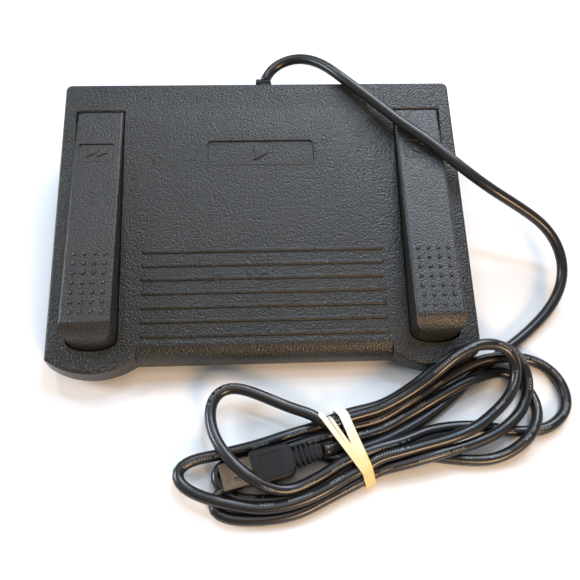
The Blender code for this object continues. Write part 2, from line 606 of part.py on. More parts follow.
def plug_box(name, s0, s1, half_w, z0, z1, mat=None, cutter=False, chamfer=0.3):
    return rings(name, [plug_loop(s, half_w, z0, z1, chamfer) for s in (s0, s1)], mat, cutter)


cut(hank, plug_box("cut_plug_pocket", -2.0, 44.5, 8.6, 4.9, 30.0, cutter=True))
shell = plug_box("usb_plug_shell", 0.0, 13.6, 6.0, 6.75, 11.25, NICKEL)
cut(shell, plug_box("cut_shell_mouth", -1.0, 12.6, 5.6, 7.15, 10.85, cutter=True, chamfer=0.1))
loops = [plug_loop(13.8, 7.3, 5.4, 12.6, 1.2), plug_loop(14.8, 7.8, 5.1, 12.9, 1.4),
         plug_loop(30.0, 7.8, 5.1, 12.9, 1.4), plug_loop(32.0, 6.2, 5.6, 12.4, 1.6)]
for s in (33.0, 35.6, 38.2, 40.8):
    loops += [plug_loop(s, 3.6, 5.9, 12.1, 1.2), plug_loop(s + 0.9, 3.6, 5.9, 12.1, 1.2),
              plug_loop(s + 0.9, 4.6, 5.4, 12.6, 1.4), plug_loop(s + 2.5, 4.5, 5.5, 12.5, 1.4)]
rings("usb_plug_body", loops, PVC)


def band_loop(along, half, z0, z1, r):
    pts = []
    for w, z in rounded_rect(-half, half, z0, z1, r, 3):
        x, y = local(along, w)
        pts.append((x, y, z))
    return pts


BAND_HALF, BAND_INNER = 17.2, 16.1
band = rings("rubber_band", [band_loop(s, BAND_HALF, 0.3, 15.6, 1.6) for s in (-3.0, 3.0)], BAND)
cut(band, rings("cut_band", [band_loop(s, BAND_INNER, 1.5, 14.5, 0.6) for s in (-5.0, 5.0)], cutter=True))
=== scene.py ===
"""Looks of a foot control: a rocking cover with two side pedals, and its lead tied in a hank.

Everything stands in the model's own frame: +X to the user's right, -Y toward the user, +Z up,
floor at z = 0.  Pieces hold their sizes in millimetres, and MM turns them into metres as each
mesh is made.  Finishes and lights are given in metres.
"""

import logging
import math
from dataclasses import dataclass, field
from enum import Enum
from typing import Callable, Iterable, Optional, Sequence, Union

import bmesh
import bpy
import numpy as np
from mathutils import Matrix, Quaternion, Vector


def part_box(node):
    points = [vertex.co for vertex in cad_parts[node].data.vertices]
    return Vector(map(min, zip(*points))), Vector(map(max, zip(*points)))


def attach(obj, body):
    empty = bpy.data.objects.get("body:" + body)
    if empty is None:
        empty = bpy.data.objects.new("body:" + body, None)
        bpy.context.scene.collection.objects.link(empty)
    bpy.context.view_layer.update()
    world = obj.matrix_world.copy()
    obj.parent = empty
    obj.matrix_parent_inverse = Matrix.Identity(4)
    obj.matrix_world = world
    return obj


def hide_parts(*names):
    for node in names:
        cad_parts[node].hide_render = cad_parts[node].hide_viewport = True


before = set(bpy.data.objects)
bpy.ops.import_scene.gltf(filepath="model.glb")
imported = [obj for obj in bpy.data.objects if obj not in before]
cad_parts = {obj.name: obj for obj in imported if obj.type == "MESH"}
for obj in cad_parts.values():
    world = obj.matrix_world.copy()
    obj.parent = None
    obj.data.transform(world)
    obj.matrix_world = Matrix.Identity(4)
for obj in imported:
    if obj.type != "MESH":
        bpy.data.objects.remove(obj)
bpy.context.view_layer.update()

LOG = logging.getLogger("foot_control")
logging.basicConfig(level=logging.INFO, format="%(name)s %(message)s")

MM = 0.001
LEAD_DIAMETER = 5.2
OVER_TOP = 60.0     # above every piece: where cutters that open upwards end
SMOOTH_BELOW = 38.0     # degrees: carved edges flatter than this are shaded smooth
EASE_ABOVE = 35.0       # degrees: carved edges sharper than this are bevelled
Point = tuple[float, float, float]
Plan = list[tuple[float, float]]
Height = Union[float, Callable[[float], float]]


def highest_of(node: str, axis: int) -> float:
    """Upper end of a CAD node along an axis, 0 for x, 1 for y and 2 for z, in millimetres."""
    return round(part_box(node)[1][axis] / MM, 2)


def middle_of(node: str, axis: int) -> float:
    """Middle of a CAD node along an axis, 0 for x, 1 for y and 2 for z, in millimetres."""
    low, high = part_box(node)
    return round(0.5 * (low[axis] + high[axis]) / MM, 2)


class Body(str, Enum):
    """Rigid bodies of the model."""

    BASE = "base"
    COVER = "cover"
    LEFT = "left_treadle"
    RIGHT = "right_treadle"


# ---- shader building --------------------------------------------------------
class Wire:
    """A shader socket that takes part in Python arithmetic."""

    def __init__(self, graph: "Graph", socket: bpy.types.NodeSocket) -> None:
        """Keep the socket and the graph it belongs to."""
        self.graph = graph
        self.socket = socket

    def _math(self, operation: str, first: object, second: object = 0.0) -> "Wire":
        """Add one Math node.

        Args:
            operation: the node's operation name.
            first: left operand, a Wire or a number.
            second: right operand, a Wire or a number.

        Returns:
            The node's result.
        """
        return self.graph.add("ShaderNodeMath", {"operation": operation}, {0: first, 1: second})

    def __add__(self, other: object) -> "Wire":
        """Sum."""
        return self._math("ADD", self, other)

    __radd__ = __add__

    def __sub__(self, other: object) -> "Wire":
        """Difference."""
        return self._math("SUBTRACT", self, other)

    def __rsub__(self, other: object) -> "Wire":
        """Reflected difference."""
        return self._math("SUBTRACT", other, self)

    def __mul__(self, other: object) -> "Wire":
        """Product."""
        return self._math("MULTIPLY", self, other)

    __rmul__ = __mul__

    def __truediv__(self, other: object) -> "Wire":
        """Quotient."""
        return self._math("DIVIDE", self, other)

    def __pow__(self, other: object) -> "Wire":
        """Power."""
        return self._math("POWER", self, other)

    def __lt__(self, other: object) -> "Wire":
        """1 where the socket is less than other."""
        return self._math("LESS_THAN", self, other)

    def __gt__(self, other: object) -> "Wire":
        """1 where the socket is greater than other."""
        return self._math("GREATER_THAN", self, other)

    def fract(self) -> "Wire":
        """Fractional part."""
        return self._math("FRACT", self)

    def floor(self) -> "Wire":
        """Whole part."""
        return self._math("FLOOR", self)

    def abs(self) -> "Wire":
        """Absolute value."""
        return self._math("ABSOLUTE", self)

    def clamp(self) -> "Wire":
        """Value held between 0 and 1."""
        return self.graph.add("ShaderNodeClamp", {}, {"Value": self})


class Graph:
    """One material and the nodes that make it."""

    def __init__(self, name: str) -> None:
        """Start a material with an unlinked Principled shader.

        Args:
            name: the material's name.
        """
        self.material = bpy.data.materials.new(name)
        self.material.use_nodes = True
        self.tree = self.material.node_tree
        self.shader = self.tree.nodes["Principled BSDF"]

    def add(self, kind: str, settings: dict, inputs: dict, output: Union[int, str] = 0) -> Wire:
        """Add a node.

        Args:
            kind: the node type's identifier.
            settings: node attributes, set before its sockets.
            inputs: socket name or index to a Wire, number or tuple.
            output: name or index of the output to return.

        Returns:
            The chosen output.
        """
        node = self.tree.nodes.new(kind)
        for key, value in settings.items():
            setattr(node, key, value)
        for key, value in inputs.items():
            self._feed(node.inputs[key], value)
        return Wire(self, node.outputs[output])

    def _feed(self, socket: bpy.types.NodeSocket, value: object) -> None:
        """Link a Wire to a socket, or store a plain value on it."""
        if isinstance(value, Wire):
            self.tree.links.new(value.socket, socket)
        else:
            socket.default_value = value

    def surface(self, **inputs: object) -> bpy.types.Material:
        """Set the Principled shader's sockets.

        Args:
            **inputs: socket names with underscores for spaces.

        Returns:
            The finished material.
        """
        for key, value in inputs.items():
            self._feed(self.shader.inputs[key.replace("_", " ")], value)
        return self.material

    def place(self) -> Wire:
        """Object coordinates, in metres."""
        return self.add("ShaderNodeTexCoord", {}, {}, "Object")

    def noise(self, size: float, detail: float = 3.0, rough: float = 0.55) -> Wire:
        """Smooth noise from 0 to 1.

        Args:
            size: size of its largest patches, in metres.
            detail: number of finer octaves.
            rough: weight of the finer octaves.

        Returns:
            The noise value.
        """
        inputs = {"Vector": self.place(), "Scale": 1.0 / size, "Detail": detail, "Roughness": rough}
        return self.add("ShaderNodeTexNoise", {}, inputs)

    def cells(self, size: float) -> Wire:
        """Distance to the middle of the nearest cell, for cells of a size in metres."""
        inputs = {"Vector": self.place(), "Scale": 1.0 / size}
        return self.add("ShaderNodeTexVoronoi", {"feature": "F1"}, inputs, "Distance")

    def mix(self, factor: object, low: object, high: object) -> Wire:
        """Blend two colours by factor."""
        return self.add("ShaderNodeMix", {"data_type": "RGBA"}, {0: factor, 6: low, 7: high}, 2)

    def bump(self, height: Wire, depth: float, strength: float = 1.0) -> Wire:
        """Turn a height from 0 to 1 into a normal.

        Args:
            height: the height field.
            depth: the real depth of the relief, in metres.
            strength: weight of the effect.

        Returns:
            The bent normal.
        """
        return self.add("ShaderNodeBump", {}, {"Strength": strength, "Distance": depth, "Height": height})


def rgba(colour: Sequence[float]) -> tuple[float, float, float, float]:
    """Colour with full alpha."""
    return (colour[0], colour[1], colour[2], 1.0)


@dataclass(frozen=True)
class PebbledPlastic:
    """Black moulded plastic with the rounded pebble grain of an etched tool."""

    name: str = "pebbled_black_plastic"
    tone: Point = (0.0085, 0.0095, 0.0088)
    # painted sheen: the paler, warmer colour of random patches that stand in for a mottled warm reflection
    painted_sheen: Point = (0.021, 0.018, 0.0135)
    roughness: float = 0.27
    grain: float = 0.00094
    depth: float = 0.0003
    small_size: float = 0.46    # small pebbles, as a share of the large ones
    small_share: float = 0.28   # how much of the relief the small pebbles make

    def make(self) -> bpy.types.Material:
        """Build the material: large and small pebbles in relief, under uneven warm patches of painted sheen.
        """
        graph = Graph(self.name)
        large = 1.0 - graph.cells(self.grain) ** 1.6
        small = 1.0 - graph.cells(self.grain * self.small_size) ** 1.4
        relief = large * (1.0 - self.small_share) + small * self.small_share
        # Random patches mix a paler, warmer colour into the base: painted sheen, standing in for a mottled
        # warm reflection; the same noise also varies the roughness.
        cloud = graph.noise(0.045, 2.0)
        fine_sheen_patches = graph.noise(0.012, 4.0, 0.65)
        painted_sheen_mask = (cloud * 0.7 + fine_sheen_patches * 0.5 - 0.2).clamp()
        return graph.surface(
            Base_Color=graph.mix(painted_sheen_mask, rgba(self.tone), rgba(self.painted_sheen)),
            Roughness=(fine_sheen_patches * 0.16 + cloud * 0.1 + (self.roughness - 0.1)).clamp(),
            Normal=graph.bump(relief, self.depth),
            Specular_IOR_Level=0.5,
        )


@dataclass(frozen=True)
class PlainPlastic:
    """Smooth or lightly frosted moulding."""

    name: str
    tone: Point
    roughness: float = 0.5
    grain: float = 0.0006
    depth: float = 0.00002
    shine: float = 0.5

    def make(self) -> bpy.types.Material:
        """Build the material."""
        graph = Graph(self.name)
        patch = graph.noise(self.grain * 12.0, 3.0)
        darker = tuple(0.72 * c for c in self.tone)
        return graph.surface(
            Base_Color=graph.mix(patch, rgba(darker), rgba(self.tone)),
            Roughness=(patch * 0.14 + (self.roughness - 0.07)).clamp(),
            Normal=graph.bump(graph.noise(self.grain, 3.0), self.depth),
            Specular_IOR_Level=self.shine,
        )


@dataclass(frozen=True)
class PrintedJacket:
    """Satin black cable jacket with a broken row of pale printed dashes."""

    name: str = "printed_black_jacket"
    tone: Point = (0.0095, 0.0095, 0.0105)
    ink: Point = (0.36, 0.35, 0.33)
    roughness: float = 0.27
    circumference: float = LEAD_DIAMETER * math.pi * MM
    period: float = 0.116
    stroke: float = 0.00118
    row: float = 0.00105

    def make(self) -> bpy.types.Material:
        """Build the material from the cord's UV map: u along it and v around it."""
        graph = Graph(self.name)
        uv = graph.add("ShaderNodeTexCoord", {}, {}, "UV")
        along = graph.add("ShaderNodeSeparateXYZ", {}, {"Vector": uv}, 0)
        around = graph.add("ShaderNodeSeparateXYZ", {}, {"Vector": uv}, 1)
        groups = graph.add("ShaderNodeValToRGB", {}, {0: (along / self.period).fract()})
        self._stops(groups.socket.node.color_ramp)
        cell = (along / self.stroke).floor()
        chance = graph.add("ShaderNodeTexWhiteNoise", {"noise_dimensions": "1D"}, {"W": cell})
        bar = ((along / self.stroke).fract() < (chance * 0.4 + 0.35)) * (chance > 0.08)
        offset = ((around - 0.25) * self.circumference).abs()
        half_height = (chance * 0.18 + 0.82) * (self.row * 0.5)
        hollow = (chance > 0.55) * (self.row * 0.14)
        band = (offset < half_height) * (offset > hollow)
        wear = graph.noise(0.0009, 3.0) > 0.36
        mark = groups * bar * band * wear
        scuff = graph.noise(0.006, 4.0, 0.6)
        return graph.surface(
            Base_Color=graph.mix((mark * 0.55).clamp(), rgba(self.tone), rgba(self.ink)),
            Roughness=(scuff * 0.18 + mark * 0.2 + (self.roughness - 0.06)).clamp(),
            Normal=graph.bump(graph.noise(0.0022, 3.0), 0.00005, 0.6),
            Specular_IOR_Level=0.55,
        )

    def _stops(self, ramp: bpy.types.ColorRamp) -> None:
        """Lay out the printed groups over one period."""
        ramp.interpolation = "CONSTANT"
        edges = (0.04, 0.09, 0.15, 0.25, 0.32, 0.38, 0.47, 0.66)
        while len(ramp.elements) < len(edges) + 1:
            ramp.elements.new(0.5)
        ramp.elements[0].position = 0.0
        ramp.elements[0].color = (0, 0, 0, 1)
        for k, edge in enumerate(edges):
            level = 1.0 - k % 2
            ramp.elements[k + 1].position = edge
            ramp.elements[k + 1].color = (level, level, level, 1)


@dataclass(frozen=True)
class LatexBand:
    """Cream rubber of a band, yellower towards its front end and paler and greyer towards its back end."""

    name: str = "cream_latex"
    tone: Point = (0.8, 0.62, 0.3)
    pale: Point = (0.82, 0.78, 0.66)
    turn_y: float = -0.104
    turn_span: float = 0.022

    def make(self) -> bpy.types.Material:
        """Build the material."""
        graph = Graph(self.name)
        patch = graph.noise(0.005, 4.0)
        crease = graph.noise(0.0012, 3.0)
        y = graph.add("ShaderNodeSeparateXYZ", {}, {"Vector": graph.place()}, 1)
        # Blend from the yellow tone at the front to the pale tone at the back, across y = turn_y, broken up
        # by noise.
        paler_toward_back = ((y - self.turn_y) / self.turn_span + patch * 0.7 + 0.15).clamp()
        return graph.surface(
            Base_Color=graph.mix(paler_toward_back, rgba(self.tone), rgba(self.pale)),
            Roughness=(crease * 0.2 + 0.42).clamp(),
            Normal=graph.bump(crease, 0.00012, 0.7),
            Subsurface_Weight=0.15,
            Subsurface_Radius=(0.003, 0.002, 0.001),
        )


@dataclass(frozen=True)
class BrushedMetal:
    """Plated metal with fine scratches and light tarnish."""

    name: str
    tone: Point = (0.66, 0.65, 0.62)
    roughness: float = 0.3

    def make(self) -> bpy.types.Material:
        """Build the material."""
        graph = Graph(self.name)
        tarnish = graph.noise(0.004, 4.0)
        darker = tuple(0.6 * c for c in self.tone)
        return graph.surface(
            Base_Color=graph.mix(tarnish, rgba(self.tone), rgba(darker)),
            Roughness=(tarnish * 0.25 + (self.roughness - 0.1)).clamp(),
            Metallic=1.0,
        )


class Finish(Enum):
    """Every finish on the object."""

    PEBBLED = PebbledPlastic()
    # The pedal moulding carries the same painted sheen, in its own colours.
    PEDAL = PebbledPlastic("pebbled_pedal_plastic", tone=(0.012, 0.0125, 0.0125), painted_sheen=(0.026, 0.023, 0.019),
                           grain=0.00088, depth=0.00024)
    BASE = PlainPlastic("frosted_base_plastic", (0.02, 0.02, 0.02), 0.55)
    RUBBER = PlainPlastic("black_rubber", (0.013, 0.013, 0.013), 0.75, grain=0.0009, depth=0.00005)
    STUD = PlainPlastic("polished_stud_plastic", (0.012, 0.012, 0.012), 0.14, depth=0.00001, shine=0.9)
    OVERMOULD = PlainPlastic("plug_overmould", (0.005, 0.005, 0.0055), 0.5, grain=0.0005, depth=0.00003,
                             shine=0.28)
    JACKET = PrintedJacket()
    LATEX = LatexBand()
    STEEL = BrushedMetal("zinc_plate", (0.6, 0.6, 0.58), 0.35)
    # Tone kept far darker than plated nickel: painted shade and painted dark reflection, standing in for the
    # plug shell lying in shade under a loop of the lead.
    NICKEL_PAINTED_SHADE = BrushedMetal("nickel_plate_painted_shade", (0.09, 0.088, 0.084), 0.2)
    WIRE = BrushedMetal("drawn_spring_wire", (0.45, 0.45, 0.46), 0.3)
    BOARD = PlainPlastic("solder_mask", (0.015, 0.13, 0.05), 0.4, grain=0.0007)
    EPOXY = PlainPlastic("chip_epoxy", (0.018, 0.018, 0.019), 0.5)
    SWITCH = PlainPlastic("switch_housing", (0.03, 0.03, 0.032), 0.45)
    RED = PlainPlastic("plunger_red", (0.5, 0.03, 0.02), 0.4)
    NYLON = PlainPlastic("natural_nylon", (0.78, 0.76, 0.7), 0.45)


class Paint:
    """Hands out each finish's material, made once."""

    made: dict[Finish, bpy.types.Material] = {}

    @classmethod
    def get(cls, finish: Finish) -> bpy.types.Material:
        """Material of a finish."""
        if finish not in cls.made:
            cls.made[finish] = finish.value.make()
        return cls.made[finish]


# ---- mesh building ----------------------------------------------------------
def new_object(name: str, bm: bmesh.types.BMesh, finish: Optional[Finish] = None,
               sharp: float = 40.0) -> bpy.types.Object:
    """Turn a bmesh into a linked object with outward faces.

    Args:
        name: the object's name.
        bm: geometry, freed here.
        finish: its finish, if it is a finished piece.
        sharp: edges above this angle, in degrees, stay sharp.

    Returns:
        The object.
    """
    bmesh.ops.recalc_face_normals(bm, faces=bm.faces)
    mesh = bpy.data.meshes.new(name)
    bm.to_mesh(mesh)
    bm.free()
    mesh.shade_smooth()
    mesh.set_sharp_from_angle(angle=math.radians(sharp))
    if finish is not None:
        mesh.materials.append(Paint.get(finish))
    obj = bpy.data.objects.new(name, mesh)
    bpy.context.scene.collection.objects.link(obj)
    return obj


def loft(name: str, loops: Sequence[Sequence[Point]], finish: Optional[Finish] = None, sharp: float = 40.0,
         capped: bool = True) -> bpy.types.Object:
    """Skin closed loops of equal point count.

    Args:
        name: the object's name.
        loops: loops of points, in millimetres.
        finish: its finish.
        sharp: angle for sharp edges, in degrees.
        capped: close both ends with a face; without it the last loop joins the first.

    Returns:
        The object.
    """
    bm = bmesh.new()
    made = [[bm.verts.new((x * MM, y * MM, z * MM)) for x, y, z in loop] for loop in loops]
    pairs = list(zip(made, made[1:]))
    if not capped:
        pairs.append((made[-1], made[0]))
    for low, high in pairs:
        for k in range(len(low)):
            n = (k + 1) % len(low)
            bm.faces.new((low[k], low[n], high[n], high[k]))
    if capped:
        bm.faces.new(list(reversed(made[0])))
        bm.faces.new(made[-1])
    return new_object(name, bm, finish, sharp)


def at(height: Height, y: float) -> float:
    """Value of a height that may depend on y."""
    return height(y) if callable(height) else height


def prism(name: str, plan: Plan, low: Height, high: Height,
          finish: Optional[Finish] = None) -> bpy.types.Object:
    """Extrude a plan outline between two heights."""
    return loft(name, [[(x, y, at(height, y)) for x, y in plan] for height in (low, high)], finish)


def domed(name: str, plan_at: Callable[[float], Plan], low: Height, top: Callable[[float], float],
          edge: float, steps: int, finish: Finish) -> bpy.types.Object:
    """Prism with a rounded upper rim.

    Args:
        name: the object's name.
        plan_at: plan outline for a given inset.
        low: height of the lower end.
        top: height of the upper face.
        edge: rim radius.
        steps: rings in the rim.
        finish: its finish.

    Returns:
        The object.
    """
    loops = [[(x, y, at(low, y)) for x, y in plan_at(0.0)]]
    for k in range(steps + 1):
        a = 0.5 * math.pi * k / steps
        inset = edge * (1.0 - math.cos(a))
        loops.append([(x, y, top(y) + edge * (math.sin(a) - 1.0)) for x, y in plan_at(inset)])
    return loft(name, loops, finish)


def side_prism(name: str, profile: Plan, x0: float, x1: float) -> bpy.types.Object:
    """Extrude a (y, z) profile along x."""
    return loft(name, [[(x0, y, z) for y, z in profile], [(x1, y, z) for y, z in profile]])


def rounded_rect(x0: float, x1: float, y0: float, y1: float, r: float, steps: int = 6) -> Plan:
    """Rectangle with round corners, anticlockwise."""
    plan: Plan = []
    middles = ((x1 - r, y1 - r), (x0 + r, y1 - r), (x0 + r, y0 + r), (x1 - r, y0 + r))
    for (cx, cy), start in zip(middles, (0, 90, 180, 270)):
        for k in range(steps + 1):
            a = math.radians(start + 90.0 * k / steps)
            plan.append((cx + r * math.cos(a), cy + r * math.sin(a)))
    return plan


def arrowhead(cx: float, cy: float, size: float, point: int, cut: float) -> Plan:
    """Triangle pointing sideways, each corner cut back in a small inward arc.

    Args:
        cx: middle, x.
        cy: middle, y.
        size: half its height.
        point: 1 when it points to +X, -1 when it points to -X.
        cut: size of the cut at the corners.

    Returns:
        The outline, anticlockwise.
    """
    reach = size * 0.95
    corners = [(-reach * 0.85, -size), (reach, 0.0), (-reach * 0.85, size)]
    plan: Plan = []
    for k, corner in enumerate(corners):
        here = Vector(corner)
        before = (Vector(corners[k - 1]) - here).normalized()
        after = (Vector(corners[(k + 1) % 3]) - here).normalized()
        for t in (0.0, 0.25, 0.5, 0.75, 1.0):
            place = here + before.lerp(after, t).normalized() * cut * 1.4
            plan.append((cx + point * place.x, cy + place.y))
    return plan if point > 0 else list(reversed(plan))


def carve(body: bpy.types.Object, tools: Sequence[tuple[bpy.types.Object, str]],
          bevel: float = 0.0) -> bpy.types.Object:
    """Apply Boolean tools in order, then ease the sharp edges.

    Args:
        body: the piece to change.
        tools: (object, operation) pairs, removed afterwards.
        bevel: edge radius in millimetres, 0 for none.

    Returns:
        The same object with its finished mesh.
    """
    for tool, operation in tools:
        step = body.modifiers.new(tool.name, "BOOLEAN")
        step.object = tool
        step.operation = operation
        step.solver = "EXACT"
    if bevel:
        ease = body.modifiers.new("eased_edges", "BEVEL")
        ease.width = bevel * MM
        ease.segments = 2
        ease.limit_method = "ANGLE"
        ease.angle_limit = math.radians(EASE_ABOVE)
    body.data.shade_smooth()
    body.data.set_sharp_from_angle(angle=math.radians(SMOOTH_BELOW))
    flat = body.modifiers.new("flat_faces_stay_flat", "WEIGHTED_NORMAL")
    flat.mode = "FACE_AREA"
    flat.weight = 100
    flat.keep_sharp = True
    bake_modifiers(body)
    for tool, _ in tools:
        mesh = tool.data
        bpy.data.objects.remove(tool, do_unlink=True)
        bpy.data.meshes.remove(mesh)
    return body


def bake_modifiers(obj: bpy.types.Object) -> bpy.types.Object:
    """Replace an object's mesh by its evaluated mesh and drop the modifiers."""
    bpy.context.view_layer.update()
    graph = bpy.context.evaluated_depsgraph_get()
    mesh = bpy.data.meshes.new_from_object(obj.evaluated_get(graph))
    old = obj.data
    obj.modifiers.clear()
    obj.data = mesh
    mesh.name = obj.name
    bpy.data.meshes.remove(old)
    return obj


# ---- geometry nodes ---------------------------------------------------------
class Pattern:
    """A small Geometry Nodes tree that repeats the mesh it is given."""

    def __init__(self, name: str, inputs: dict[str, tuple[str, object]]) -> None:
        """Start the tree with named inputs.

        Args:
            name: the tree's name.
            inputs: input name to its socket type and value.
        """
        self.tree = bpy.data.node_groups.new(name, "GeometryNodeTree")
        face = self.tree.interface
        face.new_socket(name="Geometry", in_out="INPUT", socket_type="NodeSocketGeometry")
        face.new_socket(name="Geometry", in_out="OUTPUT", socket_type="NodeSocketGeometry")
        self.values = {}
        for label, (kind, value) in inputs.items():
            socket = face.new_socket(name=label, in_out="INPUT", socket_type=kind)
            self.values[socket.identifier] = value
        self.start = self.tree.nodes.new("NodeGroupInput")
        self.end = self.tree.nodes.new("NodeGroupOutput")

    def node(self, kind: str, settings: dict, inputs: dict) -> bpy.types.Node:
        """Add a node.

        Args:
            kind: node type.
            settings: attributes, set first.
            inputs: socket name or index to an output socket or a value.

        Returns:
            The node.
        """
        made = self.tree.nodes.new(kind)
        for key, value in settings.items():
            setattr(made, key, value)
        for key, value in inputs.items():
            if isinstance(value, bpy.types.NodeSocket):
                self.tree.links.new(value, made.inputs[key])
            else:
                made.inputs[key].default_value = value
        return made

    def finish(self, instances: bpy.types.NodeSocket, finish: Finish) -> None:
        """Realize the instances and give them their material."""
        real = self.node("GeometryNodeRealizeInstances", {}, {"Geometry": instances})
        paint = self.node("GeometryNodeSetMaterial", {}, {"Geometry": real.outputs[0]})
        paint.inputs["Material"].default_value = Paint.get(finish)
        self.tree.links.new(paint.outputs[0], self.end.inputs[0])

    def apply(self, obj: bpy.types.Object) -> bpy.types.Object:
        """Run the tree on an object and keep the plain mesh."""
        step = obj.modifiers.new(self.tree.name, "NODES")
        step.node_group = self.tree
        for identifier, value in self.values.items():
            step[identifier] = value
        return bake_modifiers(obj)


def repeat_in_rows(seed: bpy.types.Object, columns: int, rows: int, across: Vector, down: Vector,
                   finish: Finish) -> bpy.types.Object:
    """Repeat a small mesh over a grid that starts where it stands.

    Args:
        seed: the object whose mesh is repeated.
        columns: number across.
        rows: number down.
        across: step from column to column, in metres.
        down: step from row to row, in metres.
        finish: finish of the result.

    Returns:
        The same object, holding all the copies as one mesh.
    """
    pattern = Pattern("rows_of_" + seed.name, {
        "Columns": ("NodeSocketInt", columns),
        "Rows": ("NodeSocketInt", rows),
        "Across": ("NodeSocketVector", tuple(across)),
        "Down": ("NodeSocketVector", tuple(down)),
    })
    source = pattern.start.outputs
    line = {"mode": "OFFSET"}
    row = pattern.node("GeometryNodeMeshLine", line, {"Count": source["Columns"], "Offset": source["Across"]})
    column = pattern.node("GeometryNodeMeshLine", line, {"Count": source["Rows"], "Offset": source["Down"]})
    one_row = pattern.node("GeometryNodeInstanceOnPoints", {},
                           {"Points": row.outputs[0], "Instance": source["Geometry"]})
    all_rows = pattern.node("GeometryNodeInstanceOnPoints", {},
                            {"Points": column.outputs[0], "Instance": one_row.outputs[0]})
    pattern.finish(all_rows.outputs[0], finish)
    return pattern.apply(seed)


# ---- housing geometry shared by its pieces ----------------------------------
@dataclass
class Housing:
    """Plan and slope of the wedge-shaped housing, in millimetres."""

    half_back: float = 97.0
    back_y: float = highest_of("play_cover", 1)
    back_top: float = 44.0
    slope: float = 0.195
    spread: float = 3.0 / 136.9
    front_y: float = -65.8
    lobe: tuple[float, float] = (79.0, -37.5)
    lobe_r: float = 34.5
    corner_r: float = 3.0
    slot_in: float = 67.05
    slot_out: float = 91.1
    slot_back: float = 57.8
    slot_r: float = 24.5
    slot_ease: float = 3.2      # length of the curve from each side into the toe arc
    heel_r: float = 0.9
    heel_cut: float = 0.27      # how far the heel corners are taken off at their middle

    def top(self, y: float) -> float:
        """Height of the cover at y."""
        return self.back_top + self.slope * (y - self.back_y)

    def side(self, y: float) -> float:
        """Half width at y."""
        return self.half_back + self.spread * (self.back_y - y)

    def outline(self, inset: float, lobe_steps: int = 44, corner_steps: int = 8) -> Plan:
        """Plan outline moved inward.

        Args:
            inset: distance inward.
            lobe_steps: segments in each toe lobe.
            corner_steps: segments in each rear corner.

        Returns:
            The outline, anticlockwise.
        """
        radius = self.lobe_r - inset
        cx, cy = self.lobe
        start = math.pi + math.asin((cy - self.front_y - inset) / radius)
        y = self.front_y
        for _ in range(8):      # closes in on the point where the arc meets the flared side
            x = self.side(y) - inset
            y = cy - math.sqrt(radius ** 2 - (x - cx) ** 2)
        end = 2.0 * math.pi - math.asin((cy - y) / radius)
        half: Plan = []
        for k in range(lobe_steps + 1):
            a = start + (end - start) * k / lobe_steps
            half.append((cx + radius * math.cos(a), cy + radius * math.sin(a)))
        r = max(self.corner_r - inset, 0.6)
        for k in range(corner_steps + 1):
            a = 0.5 * math.pi * k / corner_steps
            half.append((self.half_back - inset - r + r * math.cos(a),
                         self.back_y - inset - r + r * math.sin(a)))
        return half + [(-x, y) for x, y in reversed(half)]

    def slot(self, gap: float, end_gap: float, heel_gap: float, sign: int, steps: int = 28) -> Plan:
        """Outline of a side pedal's slot, moved inward by a gap.

        Args:
            gap: gap at the sides.
            end_gap: gap at the toe.
            heel_gap: gap at the heel.
            sign: -1 left, 1 right.
            steps: segments in the toe arc.

        Returns:
            The outline.
        """
        inner, outer = self.slot_in + gap, self.slot_out - gap
        radius, back = self.slot_r - end_gap, self.slot_back - heel_gap
        cx, cy = self.lobe
        ease, heel_r, cut = self.slot_ease, self.heel_r, self.heel_cut
        first = (inner, cy - math.sqrt(radius ** 2 - (cx - inner) ** 2))
        last = (outer, cy - math.sqrt(radius ** 2 - (outer - cx) ** 2))
        a0 = math.atan2(first[1] - cy, first[0] + ease - cx)
        a1 = math.atan2(last[1] - cy, last[0] - ease - cx)
        turns = [a0 + (a1 - a0) * k / steps for k in range(steps + 1)]
        arc = [(cx + radius * math.cos(a), cy + radius * math.sin(a)) for a in turns]
        left = self._ease((inner, first[1] + ease), (inner, first[1]), arc[0])
        right = self._ease(arc[-1], (outer, last[1]), (outer, last[1] + ease))
        corners = [(outer, back - heel_r), (outer - cut, back - cut), (outer - heel_r, back),
                   (inner + heel_r, back), (inner + cut, back - cut), (inner, back - heel_r)]
        return [(sign * x, y) for x, y in left + arc[1:-1] + right + corners]

    @staticmethod
    def _ease(a: tuple[float, float], corner: tuple[float, float], b: tuple[float, float],
              steps: int = 6) -> Plan:
        """Quadratic curve from a to b, bulging to a corner."""
        out: Plan = []
        for k in range(steps + 1):
            t = k / steps
            u = 1.0 - t
            x, y = (u * u * a[i] + 2 * u * t * corner[i] + t * t * b[i] for i in (0, 1))
            out.append((x, y))
        return out


HOUSING = Housing()


def quarter_roll(start: float, end: float, top: Callable[[float], float], drop: float, beyond: float,
                 steps: int = 20) -> Plan:
    """Profile of the material to remove in front of a rolled edge.

    Args:
        start: y where the roll begins.
        end: y where it has turned down.
        top: height of the surface it leaves.
        drop: fall over the roll.
        beyond: how far the cutter reaches past the roll.
        steps: segments in the roll.

    Returns:
        A (y, z) profile.
    """
    clear = 14.0    # how far the cutter stands above the surface
    carried = 0.35  # share of the surface's own slope that the roll keeps
    profile = [(start, top(start) + clear), (start, top(start))]
    for k in range(1, steps + 1):
        a = 0.5 * math.pi * k / steps
        kept = (top(end) - top(start)) * carried * math.sin(a)
        profile.append((start + (end - start) * math.sin(a), top(start) - drop * (1.0 - math.cos(a)) + kept))
    return profile + [(end - beyond, profile[-1][1]), (end - beyond, top(start) + clear)]


